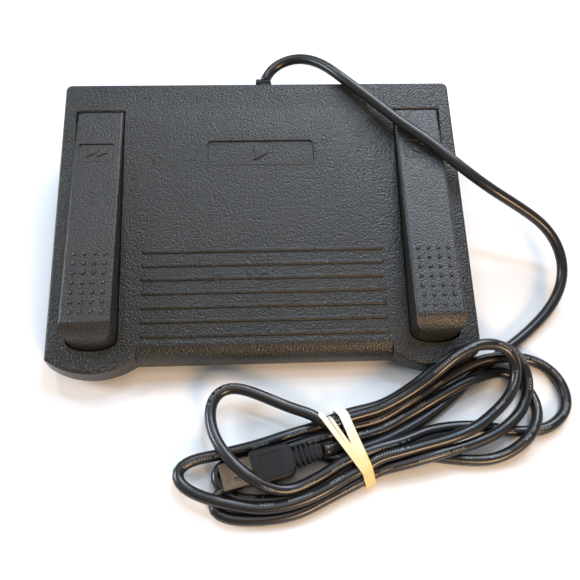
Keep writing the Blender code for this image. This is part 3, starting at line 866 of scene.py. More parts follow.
@dataclass
class Cover:
    """The upper moulding, which is the centre treadle."""

    wall: float = 2.2
    roof: float = 2.3
    skirt: float = 6.5
    rim: float = 1.2
    edge: float = 0.32
    roll_start: float = -57.8
    roll_drop: float = 8.2
    roll_half: float = 59.2
    roll_reach: float = 8.0             # how far the roll's cutter passes the toe
    roll_inset: float = 1.2             # the inner roll starts this far behind the outer one
    roll_inner_drop: float = 4.5
    roll_margin: float = 2.0            # and is this much wider at each end
    slot_floor: float = 8.0
    ear_x: float = 57.5
    ear_half: float = 1.5
    ear_foot: tuple[float, float, float] = (48.5, 57.5, 25.0)   # y from, y to, height
    ear_head: tuple[float, float] = (46.5, 59.5)                # y from, y to
    ear_sink: float = 1.2               # how far the ear's head lies under the cover's top
    panel: tuple[float, float, float, float] = (-26.4, 26.4, 27.8, 40.8)
    panel_corner: float = 2.4
    panel_depth: float = 0.55
    notch: tuple[float, float, float, float] = (-3.2, 8.2, 66.0, 76.0)
    notch_top: float = 40.8
    symbol_size: float = 4.3
    rib_first: float = -15.9
    rib_pitch: float = 6.63
    rib_half: float = 57.3
    rib_half_width: float = 1.1
    rib_corner: float = 1.0
    rib_height: float = 0.8
    rib_round: float = 0.75
    rib_count: int = 7

    def build(self) -> list[bpy.types.Object]:
        """Build the moulding, its ribs and its symbol."""
        made = [self.shell(), self.ribs(), self.symbol(), self.panel_frame()]
        for piece in made:
            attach(piece, Body.COVER.value)
        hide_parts("play_cover")
        return made

    def ceiling(self, y: float) -> float:
        """Height of the inner face under the top at y."""
        return HOUSING.top(y) - self.roof

    def inside(self) -> bpy.types.Object:
        """The hollow under the cover, drawn in behind the toe roll."""
        hollow = prism("tool_inside", HOUSING.outline(self.wall), 0.0, self.ceiling)
        profile = quarter_roll(self.roll_start + self.roll_inset, HOUSING.front_y + self.wall, self.ceiling,
                               self.roll_inner_drop, self.roll_reach)
        half = self.roll_half + self.roll_margin
        shy = side_prism("tool_shy_roll", profile, -half, half)
        return carve(hollow, [(shy, "DIFFERENCE")])

    def ear(self, sign: int) -> bpy.types.Object:
        """Hinge ear on one side: -1 left, 1 right."""
        y0, y1, foot = self.ear_foot
        head = [(y, HOUSING.top(y) - self.ear_sink) for y in reversed(self.ear_head)]
        x0 = sign * self.ear_x - self.ear_half
        return side_prism("tool_ear", [(y0, foot), (y1, foot)] + head, x0, x0 + 2.0 * self.ear_half)

    def shell(self) -> bpy.types.Object:
        """The wedge with its slots, rolled toe edge and recessed panel."""
        house = HOUSING
        body = domed("cover_moulding", house.outline, self.skirt, house.top, self.rim, 5, Finish.PEBBLED)
        profile = quarter_roll(self.roll_start, house.front_y, house.top, self.roll_drop, self.roll_reach)
        roll = side_prism("tool_roll", profile, -self.roll_half, self.roll_half)
        tools = [(self.inside(), "DIFFERENCE"), (roll, "DIFFERENCE")]
        for sign in (-1, 1):
            slot = prism("tool_slot", house.slot(0.0, 0.0, 0.0, sign), self.slot_floor, OVER_TOP)
            tools.append((slot, "DIFFERENCE"))
            tools.append((self.ear(sign), "UNION"))
        recess = prism("tool_panel", rounded_rect(*self.panel, self.panel_corner),
                       lambda y: house.top(y) - self.panel_depth, OVER_TOP)
        x0, x1, y0, y1 = self.notch
        notch = prism("tool_notch", [(x0, y0), (x1, y0), (x1, y1), (x0, y1)], 0.0, self.notch_top)
        tools += [(recess, "DIFFERENCE"), (notch, "DIFFERENCE")]
        return carve(body, tools, self.edge)

    def rib_plan(self, inset: float) -> Plan:
        """Plan of the first rib moved inward."""
        half = self.rib_half - inset
        y0 = self.rib_first - self.rib_half_width + inset
        y1 = self.rib_first + self.rib_half_width - inset
        return rounded_rect(-half, half, y0, y1, max(self.rib_corner - inset, 0.12), 5)

    def ribs(self) -> bpy.types.Object:
        """Raised grip ribs, one bar repeated down the slope."""
        house = HOUSING
        bar = domed("cover_grip_ribs", self.rib_plan, lambda y: house.top(y) - 0.4,
                    lambda y: house.top(y) + self.rib_height, self.rib_round, 5, Finish.PEBBLED)
        step = Vector((0.0, -self.rib_pitch, -self.rib_pitch * house.slope)) * MM
        return repeat_in_rows(bar, 1, self.rib_count, Vector((0.0, 0.0, 0.0)), step, Finish.PEBBLED)

    def symbol(self) -> bpy.types.Object:
        """Raised arrowhead in the middle of the panel."""
        x0, x1, y0, y1 = self.panel
        middle = (0.5 * (x0 + x1), 0.5 * (y0 + y1))
        return raised_arrow("cover_start_symbol", middle, self.symbol_size, 1, 0.5, HOUSING.top, 0.3, 3,
                            Finish.PEBBLED)

    def panel_frame(self) -> bpy.types.Object:
        """Low bead that borders the panel."""
        return bead_frame("cover_panel_bead", self.panel, self.panel_corner, HOUSING.top, Finish.PEBBLED)


def raised_arrow(name: str, middle: tuple[float, float], size: float, point: int, cut: float,
                 top: Callable[[float], float], edge: float, steps: int, finish: Finish) -> bpy.types.Object:
    """Arrowhead standing a little above a recessed panel.

    Args:
        name: the object's name.
        middle: its middle, x and y.
        size: half its height.
        point: 1 when it points to +X, -1 when it points to -X.
        cut: size of the cut at its corners.
        top: height of the surface round the panel.
        edge: rim radius.
        steps: rings in the rim.
        finish: its finish.

    Returns:
        The object.
    """
    return domed(name, lambda inset: arrowhead(*middle, size - 1.4 * inset, point, cut),
                 lambda y: top(y) - 1.0, lambda y: top(y) + 0.1, edge, steps, finish)


def bead_frame(name: str, panel: tuple[float, float, float, float], corner: float,
               top: Callable[[float], float], finish: Finish, size: float = 0.42) -> bpy.types.Object:
    """Round bead along the edge of a recessed panel.

    Args:
        name: the object's name.
        panel: x0, x1, y0, y1.
        corner: corner radius.
        top: surface height.
        finish: its finish.
        size: radius of the bead.

    Returns:
        The object.
    """
    sunk = 0.18     # how far the bead's middle lies under the surface
    path = rounded_rect(*panel, corner, 6)
    loops = []
    for k, (x, y) in enumerate(path):
        before, after = path[k - 1], path[(k + 1) % len(path)]
        out = Vector((after[1] - before[1], before[0] - after[0])).normalized()
        loops.append([(x + out.x * size * math.cos(a), y + out.y * size * math.cos(a),
                       top(y) - sunk + size * math.sin(a)) for a in (2 * math.pi * j / 8 for j in range(8))])
    return loft(name, loops, finish, 60.0, capped=False)


@dataclass
class SidePedal:
    """One of the two narrow pedals."""

    side: str
    sign: int
    body: Body
    heel_top: float = 41.4
    slope: float = 0.0695
    low_back: tuple[float, float] = (57.0, 24.5)    # y and height of the lower edge at the heel
    low_slope: float = 0.0958
    wall: float = 2.0
    roof: float = 2.1
    gap: float = 0.5
    end_gap: float = 0.8
    heel_gap: float = 0.7
    rim: float = 1.6
    edge: float = 0.3
    nose_start: float = -52.0
    nose_end: float = -61.7
    nose_inset: float = 1.0         # the inner roll starts this far behind the outer one
    nose_drop: float = 15.5
    nose_reach: float = 14.0        # how far the nose's cutter passes the toe
    nose_half: float = 20.0
    nose_steps: int = 28
    panel_x: float = 79.8
    panel_half: float = 8.8
    panel_y: tuple[float, float] = (28.0, 38.0)
    panel_corner: float = 1.3
    panel_depth: float = 0.5
    symbol_size: float = 2.8
    symbol_apart: float = 5.4
    stud_rows: int = 7
    stud_columns: int = 4
    stud_pitch: float = 4.707
    stud_first: float = -21.5
    stud_profile: Plan = field(default_factory=lambda: [    # radius and height, from the root up
        (1.0, -0.5), (1.0, 0.0), (0.93, 0.24), (0.7, 0.66), (0.44, 0.94), (0.16, 1.05)])

    def top(self, y: float) -> float:
        """Height of the pedal at y."""
        return self.heel_top - self.slope * (HOUSING.slot_back - y)

    def low(self, y: float) -> float:
        """Height of the pedal's lower edge at y."""
        back_y, back_z = self.low_back
        return back_z - self.low_slope * (back_y - y)

    def ceiling(self, y: float) -> float:
        """Height of the inner face under the top at y."""
        return self.top(y) - self.roof

    def plan(self, inset: float) -> Plan:
        """Plan outline moved inward."""
        return HOUSING.slot(self.gap + inset, self.end_gap + inset, self.heel_gap + inset, self.sign)

    def build(self) -> list[bpy.types.Object]:
        """Build the pedal, its studs, panel bead and symbols."""
        made = [self.shell(), self.studs(), self.bead()] + self.symbols()
        for piece in made:
            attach(piece, self.body.value)
        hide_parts(self.side + "_pedal")
        return made

    def nose_cutter(self, name: str, start: float, end: float,
                    top: Callable[[float], float]) -> bpy.types.Object:
        """Cutter for the rolled nose, from y start to y end, below the surface top."""
        profile = quarter_roll(start, end, top, self.nose_drop, self.nose_reach, self.nose_steps)
        middle = self.sign * HOUSING.lobe[0]
        return side_prism(name, profile, middle - self.nose_half, middle + self.nose_half)

    def shell(self) -> bpy.types.Object:
        """The hollow pedal with its rolled nose."""
        body = domed(self.side + "_pedal_moulding", self.plan, self.low, self.top, self.rim, 6, Finish.PEDAL)
        inside = prism("tool_inside", self.plan(self.wall), 0.0, self.ceiling)
        shy = self.nose_cutter("tool_shy_nose", self.nose_start + self.nose_inset, self.nose_end + self.wall,
                               self.ceiling)
        carve(inside, [(shy, "DIFFERENCE")])
        nose = self.nose_cutter("tool_nose", self.nose_start, self.nose_end, self.top)
        panel = prism("tool_panel", rounded_rect(*self.panel(), self.panel_corner),
                      lambda y: self.top(y) - self.panel_depth, OVER_TOP)
        tools = [(inside, "DIFFERENCE"), (nose, "DIFFERENCE"), (panel, "DIFFERENCE")]
        return carve(body, tools, self.edge)

    def panel(self) -> tuple[float, float, float, float]:
        """Edges of the recessed panel."""
        middle = self.sign * self.panel_x
        return (middle - self.panel_half, middle + self.panel_half, self.panel_y[0], self.panel_y[1])

    def bead(self) -> bpy.types.Object:
        """Bead around the panel."""
        return bead_frame(self.side + "_pedal_panel_bead", self.panel(), self.panel_corner, self.top,
                          Finish.PEDAL, 0.34)

    def symbols(self) -> list[bpy.types.Object]:
        """Two arrowheads, pointing right on the left pedal and left on the right one."""
        made = []
        for k in (0, 1):
            name = f"{self.side}_pedal_symbol_{k + 1}"
            middle = (self.sign * self.panel_x + (k - 0.5) * self.symbol_apart, 0.5 * sum(self.panel_y))
            made.append(raised_arrow(name, middle, self.symbol_size, -self.sign, 0.35, self.top, 0.25, 2,
                                     Finish.PEDAL))
        return made

    def studs(self) -> bpy.types.Object:
        """Grip studs: one low cone repeated over a grid that follows the slope."""
        x = self.sign * HOUSING.lobe[0] - 0.5 * (self.stud_columns - 1) * self.stud_pitch
        y = self.stud_first
        z = self.top(y)
        turns = [2 * math.pi * k / 12 for k in range(12)]
        loops = [[(x + r * math.cos(a), y + r * math.sin(a), z + h) for a in turns]
                 for r, h in self.stud_profile]
        cone = loft(self.side + "_pedal_studs", loops, Finish.STUD, 60.0)
        across = Vector((self.stud_pitch, 0.0, 0.0)) * MM
        down = Vector((0.0, -self.stud_pitch, -self.stud_pitch * self.slope)) * MM
        return repeat_in_rows(cone, self.stud_columns, self.stud_rows, across, down, Finish.STUD)


# ---- the lead ---------------------------------------------------------------
def spline(route: Sequence[Point], spacing: float) -> np.ndarray:
    """Centripetal curve through given points, evenly resampled.

    Args:
        route: points in millimetres.
        spacing: distance between the returned points.

    Returns:
        An array of points, in millimetres.
    """
    pts = np.array(route, dtype=float)
    pts = np.vstack([2 * pts[0] - pts[1], pts, 2 * pts[-1] - pts[-2]])
    dense = []
    for k in range(1, len(pts) - 2):
        p0, p1, p2, p3 = pts[k - 1:k + 3]
        t1 = np.linalg.norm(p1 - p0) ** 0.5
        t2 = t1 + np.linalg.norm(p2 - p1) ** 0.5
        t3 = t2 + np.linalg.norm(p3 - p2) ** 0.5
        for t in np.linspace(t1, t2, 24, endpoint=False):
            a1 = (t1 - t) / t1 * p0 + t / t1 * p1
            a2 = (t2 - t) / (t2 - t1) * p1 + (t - t1) / (t2 - t1) * p2
            a3 = (t3 - t) / (t3 - t2) * p2 + (t - t2) / (t3 - t2) * p3
            b1 = (t2 - t) / t2 * a1 + t / t2 * a2
            b2 = (t3 - t) / (t3 - t1) * a2 + (t - t1) / (t3 - t1) * a3
            dense.append((t2 - t) / (t2 - t1) * b1 + (t - t1) / (t2 - t1) * b2)
    dense.append(pts[-2])
    dense = np.array(dense)
    return resample(dense, spacing)


def resample(points: np.ndarray, spacing: float) -> np.ndarray:
    """Spread points evenly along a polyline."""
    run = np.concatenate([[0.0], np.cumsum(np.linalg.norm(np.diff(points, axis=0), axis=1))])
    count = max(2, int(round(run[-1] / spacing)))
    want = np.linspace(0.0, run[-1], count + 1)
    return np.stack([np.interp(want, run, points[:, axis]) for axis in range(3)], axis=1)


def soften(points: np.ndarray, reach: float) -> np.ndarray:
    """Blur a path along its length, keeping its ends.

    Args:
        points: evenly spaced points.
        reach: standard deviation of the blur, in points.

    Returns:
        The blurred path.
    """
    half = int(3 * reach)
    kernel = np.exp(-0.5 * (np.arange(-half, half + 1) / reach) ** 2)
    kernel /= kernel.sum()
    ahead = 2 * points[0] - points[half:0:-1]
    behind = 2 * points[-1] - points[-2:-half - 2:-1]
    padded = np.vstack([ahead, points, behind])
    return np.stack([np.convolve(padded[:, axis], kernel, mode="valid") for axis in range(3)], axis=1)


@dataclass
class Lead:
    """The USB lead: one continuous route from the gland to the plug, in millimetres.

    The first stretch lies over the heel of the right pedal and drops to the floor; the rest
    is nine passes through the rubber band, with four loops on each side of it.
    """

    diameter: float = LEAD_DIAMETER
    spacing: float = 2.6
    sides: int = 20
    blur: float = 1.8           # smoothing of the route, in points
    freed_over: float = 8.0     # points over which a held end is let go
    clearance: float = 1.01     # distance kept between strands, in diameters
    give: float = 0.35          # share of an overlap taken up in one round
    climb: float = 0.35         # how readily a strand passes over another
    sag: float = 0.03           # fall per round
    rest: float = 0.05          # gap kept under the lead
    row_turn: float = 0.40      # metres from the gland to where the printed row comes up on top
    waist: tuple[float, float] = (35.5, -105.8)
    along: tuple[float, float] = (0.912, 0.41)
    to_floor: list[Point] = field(default_factory=lambda: [
        (2.8, 80.0, 36.0), (4.0, 84.4, 36.8), (9.6, 89.5, 39.0), (20.4, 90.6, 42.6), (32.0, 83.6, 46.0),
        (43.6, 70.8, 47.2), (57.0, 58.6, 45.6), (70.0, 46.2, 43.8), (84.0, 34.0, 42.8),
        (97.0, 21.0, 40.8), (112.0, 10.6, 36.0), (127.0, 4.2, 29.4), (141.0, -2.6, 22.0),
        (148.6, -12.0, 15.8), (150.4, -23.0, 10.4), (146.4, -34.0, 6.6), (139.0, -43.0, 4.0),
        (131.5, -49.6, 3.0), (124.0, -55.6, 2.8)])
    lead_in: list[Point] = field(default_factory=lambda: [
        (114, -62, 2.8), (102, -72, 2.8), (91, -80, 2.8), (79, -88, 2.8), (66, -96, 2.8),
        (53, -102, 2.8)])
    left_low: list[Point] = field(default_factory=lambda: [
        (20, -106, 3), (6, -114, 3), (-7, -120, 3), (-18, -122, 3), (-23.5, -125, 3), (-25, -129, 3),
        (-22, -132.6, 3), (-14, -134.4, 3), (-6, -134.6, 3), (3, -133.8, 3), (13, -131.4, 3),
        (24, -126, 3)])
    right_second: list[Point] = field(default_factory=lambda: [
        (46, -114, 4), (57, -113, 6), (68, -111, 7), (80, -109, 8), (93, -106, 8), (104, -102, 8),
        (112, -97, 8), (119, -90, 8.5), (122.5, -82, 10), (122, -74, 12.5), (119, -67.5, 15.5),
        (112.5, -63.6, 18.8), (103.5, -62.8, 20.8), (94, -64.4, 20.9), (85, -68.4, 20.3),
        (77.5, -73.8, 17.6), (70, -79, 11.5), (61, -84, 7.5), (51, -88, 4.5)])
    left_wide: list[Point] = field(default_factory=lambda: [
        (18, -98, 6), (8, -101, 8), (-1, -104, 8.5), (-10, -107, 8.5), (-17, -108, 8.5),
        (-24, -109, 8.5), (-32, -109.4, 8.5), (-39, -112, 8.5), (-41.6, -116.4, 8.5), (-38, -121, 8.5),
        (-31, -125, 8.5), (-23, -128, 8.5), (-14, -130, 8.5), (-4, -132, 8.5), (7, -131, 8),
        (17, -128, 8), (27, -123, 8)])
    right_front: list[Point] = field(default_factory=lambda: [
        (46, -110, 9), (56, -109, 11), (67, -107, 12), (77, -105.5, 13), (86, -103, 14), (94, -100, 14),
        (101, -95, 14), (108, -89.5, 14.5), (113.5, -83, 16), (115.5, -75, 18.5), (114, -68.4, 21.5),
        (108.5, -64.8, 24.2), (101.5, -64.2, 25.8), (94.5, -65.8, 25.8), (86.5, -69.8, 24.4),
        (80, -74.8, 20.8), (73, -80, 15.5), (65, -85, 11.5), (55, -90.5, 8)])
    left_tall: list[Point] = field(default_factory=lambda: [
        (24, -93, 10), (13, -89, 11), (4, -85, 12), (-5, -81, 13), (-13, -78, 13), (-20, -78, 13),
        (-25, -83, 13), (-26, -90, 13), (-25, -97, 13.5), (-22, -104, 14.5), (-17, -111, 15.6),
        (-11, -117, 15.8), (-4, -122, 14.5), (4, -125, 11.5), (11, -125, 9), (18, -122, 8),
        (26, -118, 8)])
    right_far: list[Point] = field(default_factory=lambda: [
        (52, -104, 6), (60, -100, 4), (67, -97, 3), (77, -96, 3), (87, -96, 3), (97, -97, 3),
        (106, -99, 3), (113, -101, 3), (121, -101, 3), (129, -100, 3), (135, -96, 3), (140, -91, 3),
        (141, -83, 3), (139, -75, 3), (134, -69, 3), (127, -65, 3), (118, -64, 4), (109, -65, 6),
        (101, -67, 8), (92, -72, 8), (81, -79, 8), (71, -86, 8), (61, -91, 7), (52, -96, 5)])
    left_inner: list[Point] = field(default_factory=lambda: [
        (22, -101, 3), (12, -104, 3), (2, -106, 3), (-7, -108, 3), (-15, -109, 3), (-20, -111, 3),
        (-23, -115, 3), (-24, -119, 3), (-21, -123, 3), (-15, -126, 3), (-6, -127, 3), (4, -127, 3),
        (14, -125, 3), (24, -121, 3)])
    right_under: list[Point] = field(default_factory=lambda: [
        (46, -113, 3), (56, -112, 3), (67, -111, 3), (78, -112, 3), (89, -113, 3), (100, -113, 3),
        (109, -110, 3), (117, -105, 3), (122, -99, 3), (125, -91, 3), (124, -83, 3), (119, -75, 3),
        (112, -70, 3), (103, -72, 3), (93, -76, 5), (80, -83, 7), (66, -90, 6), (53, -98, 4)])
    to_plug: list[Point] = field(default_factory=lambda: [(30.5, -107.0, 7.0), (24.2, -107.9, 8.8)])

    def slot_at(self, across: float, height: float) -> list[Point]:
        """Three points that carry a strand straight through the band."""
        (wx, wy), (ax, ay) = self.waist, self.along
        return [(wx + ax * s - ay * across, wy + ay * s + ax * across, height) for s in (-5.0, 0.0, 5.0)]

    def route(self) -> list[Point]:
        """All the route points in order, from the gland to the plug."""
        through = self.slot_at
        return (self.to_floor + self.lead_in + through(-2.6, 2.6)[::-1]
                + self.left_low + through(-13.3, 2.6)
                + self.right_second + through(13.3, 2.6)[::-1]
                + self.left_wide + through(-10.6, 7.3)
                + self.right_front + through(10.6, 7.3)[::-1]
                + self.left_tall + through(-5.3, 7.3)
                + self.right_far + through(8.0, 2.6)[::-1]
                + self.left_inner + through(-8.0, 2.6)
                + self.right_under + through(2.7, 2.6)[::-1]
                + self.to_plug)

    def settle(self, points: np.ndarray, held: int, rounds: int = 140) -> np.ndarray:
        """Let crossing strands push each other apart and rest on the floor.

        Args:
            points: the evenly spaced route.
            held: number of points at the start that keep their place.
            rounds: number of passes.

        Returns:
            The settled points.
        """
        home = points.copy()
        count = len(points)
        index = np.arange(count)
        far = np.abs(index[:, None] - index[None, :]) >= int(2.2 * self.diameter / self.spacing)
        free = np.clip((index - held) / self.freed_over, 0.0, 1.0)
        free *= np.clip((count - 1 - index) / self.freed_over, 0.0, 1.0)
        clearance = self.diameter * self.clearance
        for _ in range(rounds):
            gap = points[:, None, :] - points[None, :, :]
            reach = np.linalg.norm(gap, axis=2)
            touch = far & (reach < clearance)
            push = np.zeros_like(points)
            if touch.any():
                first, second = np.nonzero(touch)
                line = gap[first, second]
                apart = home[first, 2] != home[second, 2]
                line[:, 2] += np.where(line[:, 2] >= 0.0, self.climb, -self.climb) * apart
                line /= np.linalg.norm(line, axis=1)[:, None] + 1e-9
                amount = (clearance - reach[first, second])[:, None] * self.give
                np.add.at(push, first, line * amount)
                hits = np.bincount(first, minlength=count)[:, None]
                push /= np.maximum(hits * 0.6, 1.0)
            push[:, 2] -= self.sag
            shift = (points - home + push) * free[:, None]
            for _ in range(2):
                inner = 0.25 * shift[:-2] + 0.5 * shift[1:-1] + 0.25 * shift[2:]
                shift[1:-1] = inner
            points = home + shift * free[:, None]
            points[:, 2] = np.maximum(points[:, 2], 0.5 * self.diameter + self.rest)
        return points

    def centreline(self) -> np.ndarray:
        """Settled centreline, in millimetres."""
        raw = soften(spline(self.route(), self.spacing), self.blur)
        upper = spline(self.to_floor, self.spacing)
        held = int(sum(np.linalg.norm(np.diff(upper, axis=0), axis=1)) / self.spacing)
        return resample(self.settle(raw, held), self.spacing)

    def tube(self, path: np.ndarray) -> bpy.types.Object:
        """Skin the centreline: u runs along it, v around it, and v = 0.25 faces roughly up past row_turn."""
        count, sides, radius = len(path), self.sides, 0.5 * self.diameter
        tangent = np.gradient(path, axis=0)
        tangent /= np.linalg.norm(tangent, axis=1)[:, None]
        side = np.cross(tangent, np.array([0.0, 0.0, 1.0]))
        side /= np.linalg.norm(side, axis=1)[:, None]
        up = np.cross(side, tangent)
        run = np.arange(count) * self.spacing * MM
        twist = np.where(run < self.row_turn, math.pi, 0.0) + 0.5 * np.sin(run * 9.0 + 0.6)
        kernel = np.ones(15) / 15.0
        twist = np.convolve(np.pad(twist, 7, mode="edge"), kernel, mode="valid")
        verts, faces, uvs = [], [], []
        for k in range(count):
            for j in range(sides):
                a = 2.0 * math.pi * j / sides + twist[k]
                verts.append(tuple((path[k] + radius * (math.cos(a) * side[k] + math.sin(a) * up[k])) * MM))
        for k in range(count - 1):
            for j in range(sides):
                n = (j + 1) % sides
                faces.append((k * sides + j, k * sides + n, (k + 1) * sides + n, (k + 1) * sides + j))
                uvs.append(((run[k], j / sides), (run[k], (j + 1) / sides),
                            (run[k + 1], (j + 1) / sides), (run[k + 1], j / sides)))
        faces.append(tuple(range(sides - 1, -1, -1)))
        uvs.append(tuple((0.0, 0.9) for _ in range(sides)))
        faces.append(tuple((count - 1) * sides + j for j in range(sides)))
        uvs.append(tuple((0.0, 0.9) for _ in range(sides)))
        mesh = bpy.data.meshes.new("usb_lead")
        mesh.from_pydata(verts, [], faces)
        layer = mesh.uv_layers.new(name="UVMap")
        layer.data.foreach_set("uv", [c for face in uvs for corner in face for c in corner])
        mesh.shade_smooth()
        mesh.materials.append(Paint.get(Finish.JACKET))
        obj = bpy.data.objects.new("usb_lead", mesh)
        bpy.context.scene.collection.objects.link(obj)
        bm = bmesh.new()
        bm.from_mesh(mesh)
        bmesh.ops.recalc_face_normals(bm, faces=bm.faces)
        bm.to_mesh(mesh)
        bm.free()
        return obj


@dataclass
class BandStrand:
    """One turn of the rubber band round the hank, in millimetres."""

    name: str
    start: tuple[float, float]
    end: tuple[float, float]
    width: float = 4.4
    thick: float = 0.9
    tilt: float = 0.0

    def outline(self, half: float) -> Plan:
        """Outline of the strip: place across it, and distance out from the lead."""
        edge, inset, top = 0.25, 0.3, self.thick
        low = [(-half, edge), (-half + edge, 0.0), (half - edge, 0.0), (half, edge)]
        high = [(half, top - 0.2), (half - inset, top), (0.0, top * 1.06), (-half + inset, top),
                (-half, top - 0.2)]
        return low + high

    def build(self, path: np.ndarray, radius: float) -> bpy.types.Object:
        """Wrap a flat strip round the strands it crosses.

        Args:
            path: the lead's centreline.
            radius: the lead's radius.

        Returns:
            The strip.
        """
        a, b = np.array(self.start), np.array(self.end)
        span = float(np.linalg.norm(b - a))
        along = (b - a) / span
        normal = np.array([-along[1], along[0]])
        rel = path[:, :2] - a
        across, off = rel @ along, rel @ normal
        near = (np.abs(off) < self.width * 0.6) & (across > -6.0) & (across < span + 6.0)
        reach = radius + 0.35
        turns = np.linspace(0.0, 2.0 * math.pi, 20, endpoint=False)
        ring = [(across[k] + reach * math.cos(t), path[k, 2] + reach * math.sin(t))
                for k in np.nonzero(near)[0] for t in turns]
        hull = convex_hull(ring)
        loop = smooth_loop(hull, 96)
        loops = []
        count = len(loop)
        for k, (s, z) in enumerate(loop):
            before, after = loop[k - 1], loop[(k + 1) % count]
            out = np.array([after[1] - before[1], before[0] - after[0]])
            out /= np.linalg.norm(out)
            half = 0.5 * self.width * (1.0 + 0.07 * math.sin(4.0 * math.pi * k / count + 0.7))
            lean = self.tilt * math.sin(2.0 * math.pi * k / count)
            section = []
            for w, d in self.outline(half):
                p = a + along * (s + out[0] * d) + normal * (w + lean)
                section.append((p[0], p[1], max(z + out[1] * d, 0.12)))
            loops.append(section)
        return loft(self.name, loops, Finish.LATEX, 50.0, capped=False)


def convex_hull(points: list[tuple[float, float]]) -> list[tuple[float, float]]:
    """Convex hull of plane points, anticlockwise."""
    pts = sorted(set(points))

    def chain(run: Iterable[tuple[float, float]]) -> list[tuple[float, float]]:
        """Build one side of the hull."""
        out: list[tuple[float, float]] = []
        for p in run:
            while len(out) > 1 and ((out[-1][0] - out[-2][0]) * (p[1] - out[-2][1])
                                    - (out[-1][1] - out[-2][1]) * (p[0] - out[-2][0])) <= 0.0:
                out.pop()
            out.append(p)
        return out[:-1]

    return chain(pts) + chain(reversed(pts))


def smooth_loop(loop: list[tuple[float, float]], count: int) -> list[tuple[float, float]]:
    """Resample a closed loop evenly."""
    pts = np.array(loop + [loop[0]])
    run = np.concatenate([[0.0], np.cumsum(np.linalg.norm(np.diff(pts, axis=0), axis=1))])
    want = np.linspace(0.0, run[-1], count, endpoint=False)
    xs, zs = (np.interp(want, run, pts[:, axis]) for axis in (0, 1))
    return [(float(x), float(z)) for x, z in zip(xs, zs)]


@dataclass
class Plug:
    """USB plug at the end of the lead, in millimetres along its own axis."""

    tip: tuple[float, float] = (-20.5, -119.0)
    heading: tuple[float, float] = (0.9692, 0.2463)
    centre_z: float = middle_of("usb_plug_shell", 2)

    def ring(self, s: float, half_w: float, half_h: float, r: float) -> list[Point]:
        """Rounded section at distance s from the shell's mouth."""
        (tx, ty), (hx, hy) = self.tip, self.heading
        return [(tx + hx * s - hy * w, ty + hy * s + hx * w, self.centre_z + z)
                for w, z in rounded_rect(-half_w, half_w, -half_h, half_h, r, 5)]

    def flat(self, s0: float, s1: float, w0: float, w1: float) -> Plan:
        """Plan of a rectangle that lies along the plug: s from the mouth, w across."""
        (tx, ty), (hx, hy) = self.tip, self.heading
        corners = ((s0, w0), (s1, w0), (s1, w1), (s0, w1))
        return [(tx + hx * s - hy * w, ty + hy * s + hx * w) for s, w in corners]

    def build(self) -> list[bpy.types.Object]:
        """Build the metal shell, its tongue and the overmould."""
        made = [self.shell(), self.tongue(), self.overmould()]
        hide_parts("usb_plug_shell")
        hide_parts("usb_plug_body")
        for piece, slot in zip(made, ("nickel", "white_nylon", "pvc_jacket")):
            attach(piece, Body.BASE.value)
        return made

    def shell(self) -> bpy.types.Object:
        """Folded metal shell with its two latch windows on each face."""
        body = loft("plug_shell", [self.ring(s, 6.0, 2.25, 0.45) for s in (0.0, 13.9)], Finish.NICKEL_PAINTED_SHADE)
        mouth = loft("tool_mouth", [self.ring(s, 5.65, 1.9, 0.25) for s in (-1.0, 13.0)])
        tools = [(mouth, "DIFFERENCE")]
        for w in (-2.6, 2.6):
            window = prism("tool_window", self.flat(5.6, 8.0, w - 1.2, w + 1.2), 0.0, 20.0)
            tools.append((window, "DIFFERENCE"))
        return carve(body, tools, 0.12)

    def tongue(self) -> bpy.types.Object:
        """Plastic tongue inside the shell."""
        plan = self.flat(0.6, 12.9, -5.4, 5.4)
        return prism("plug_tongue", plan, self.centre_z - 1.8, self.centre_z - 0.1, Finish.NYLON)

    def overmould(self) -> bpy.types.Object:
        """Grip and ribbed strain relief in one moulding, as stations for ring()."""
        stations = [(13.8, 6.9, 3.3, 1.2), (14.3, 7.5, 3.7, 1.6), (15.2, 7.8, 3.9, 1.8),
                    (22.0, 7.6, 3.85, 1.8), (29.0, 7.4, 3.8, 1.8), (30.8, 6.9, 3.6, 1.8),
                    (32.0, 5.4, 3.4, 1.8), (32.6, 4.2, 3.2, 1.6)]
        for k in range(5):
            s = 33.0 + 2.3 * k
            w, h = 4.6 - 0.22 * k, 3.6 - 0.12 * k
            stations += [(s, 3.3, 2.9, 1.5), (s + 0.5, 3.3, 2.9, 1.5), (s + 0.65, w - 0.15, h - 0.15, 1.6),
                         (s + 0.85, w, h, 1.6), (s + 1.7, w, h, 1.6), (s + 1.9, w - 0.15, h - 0.15, 1.6)]
        stations += [(44.3, 3.2, 2.85, 1.6), (45.2, 3.0, 2.8, 1.6)]
        body = loft("plug_overmould", [self.ring(*station) for station in stations], Finish.OVERMOULD)
        recess = prism("tool_thumb_recess", self.flat(17.5, 26.5, -4.6, 4.6), self.centre_z + 3.45, 30.0)
        return carve(body, [(recess, "DIFFERENCE")], 0.15)


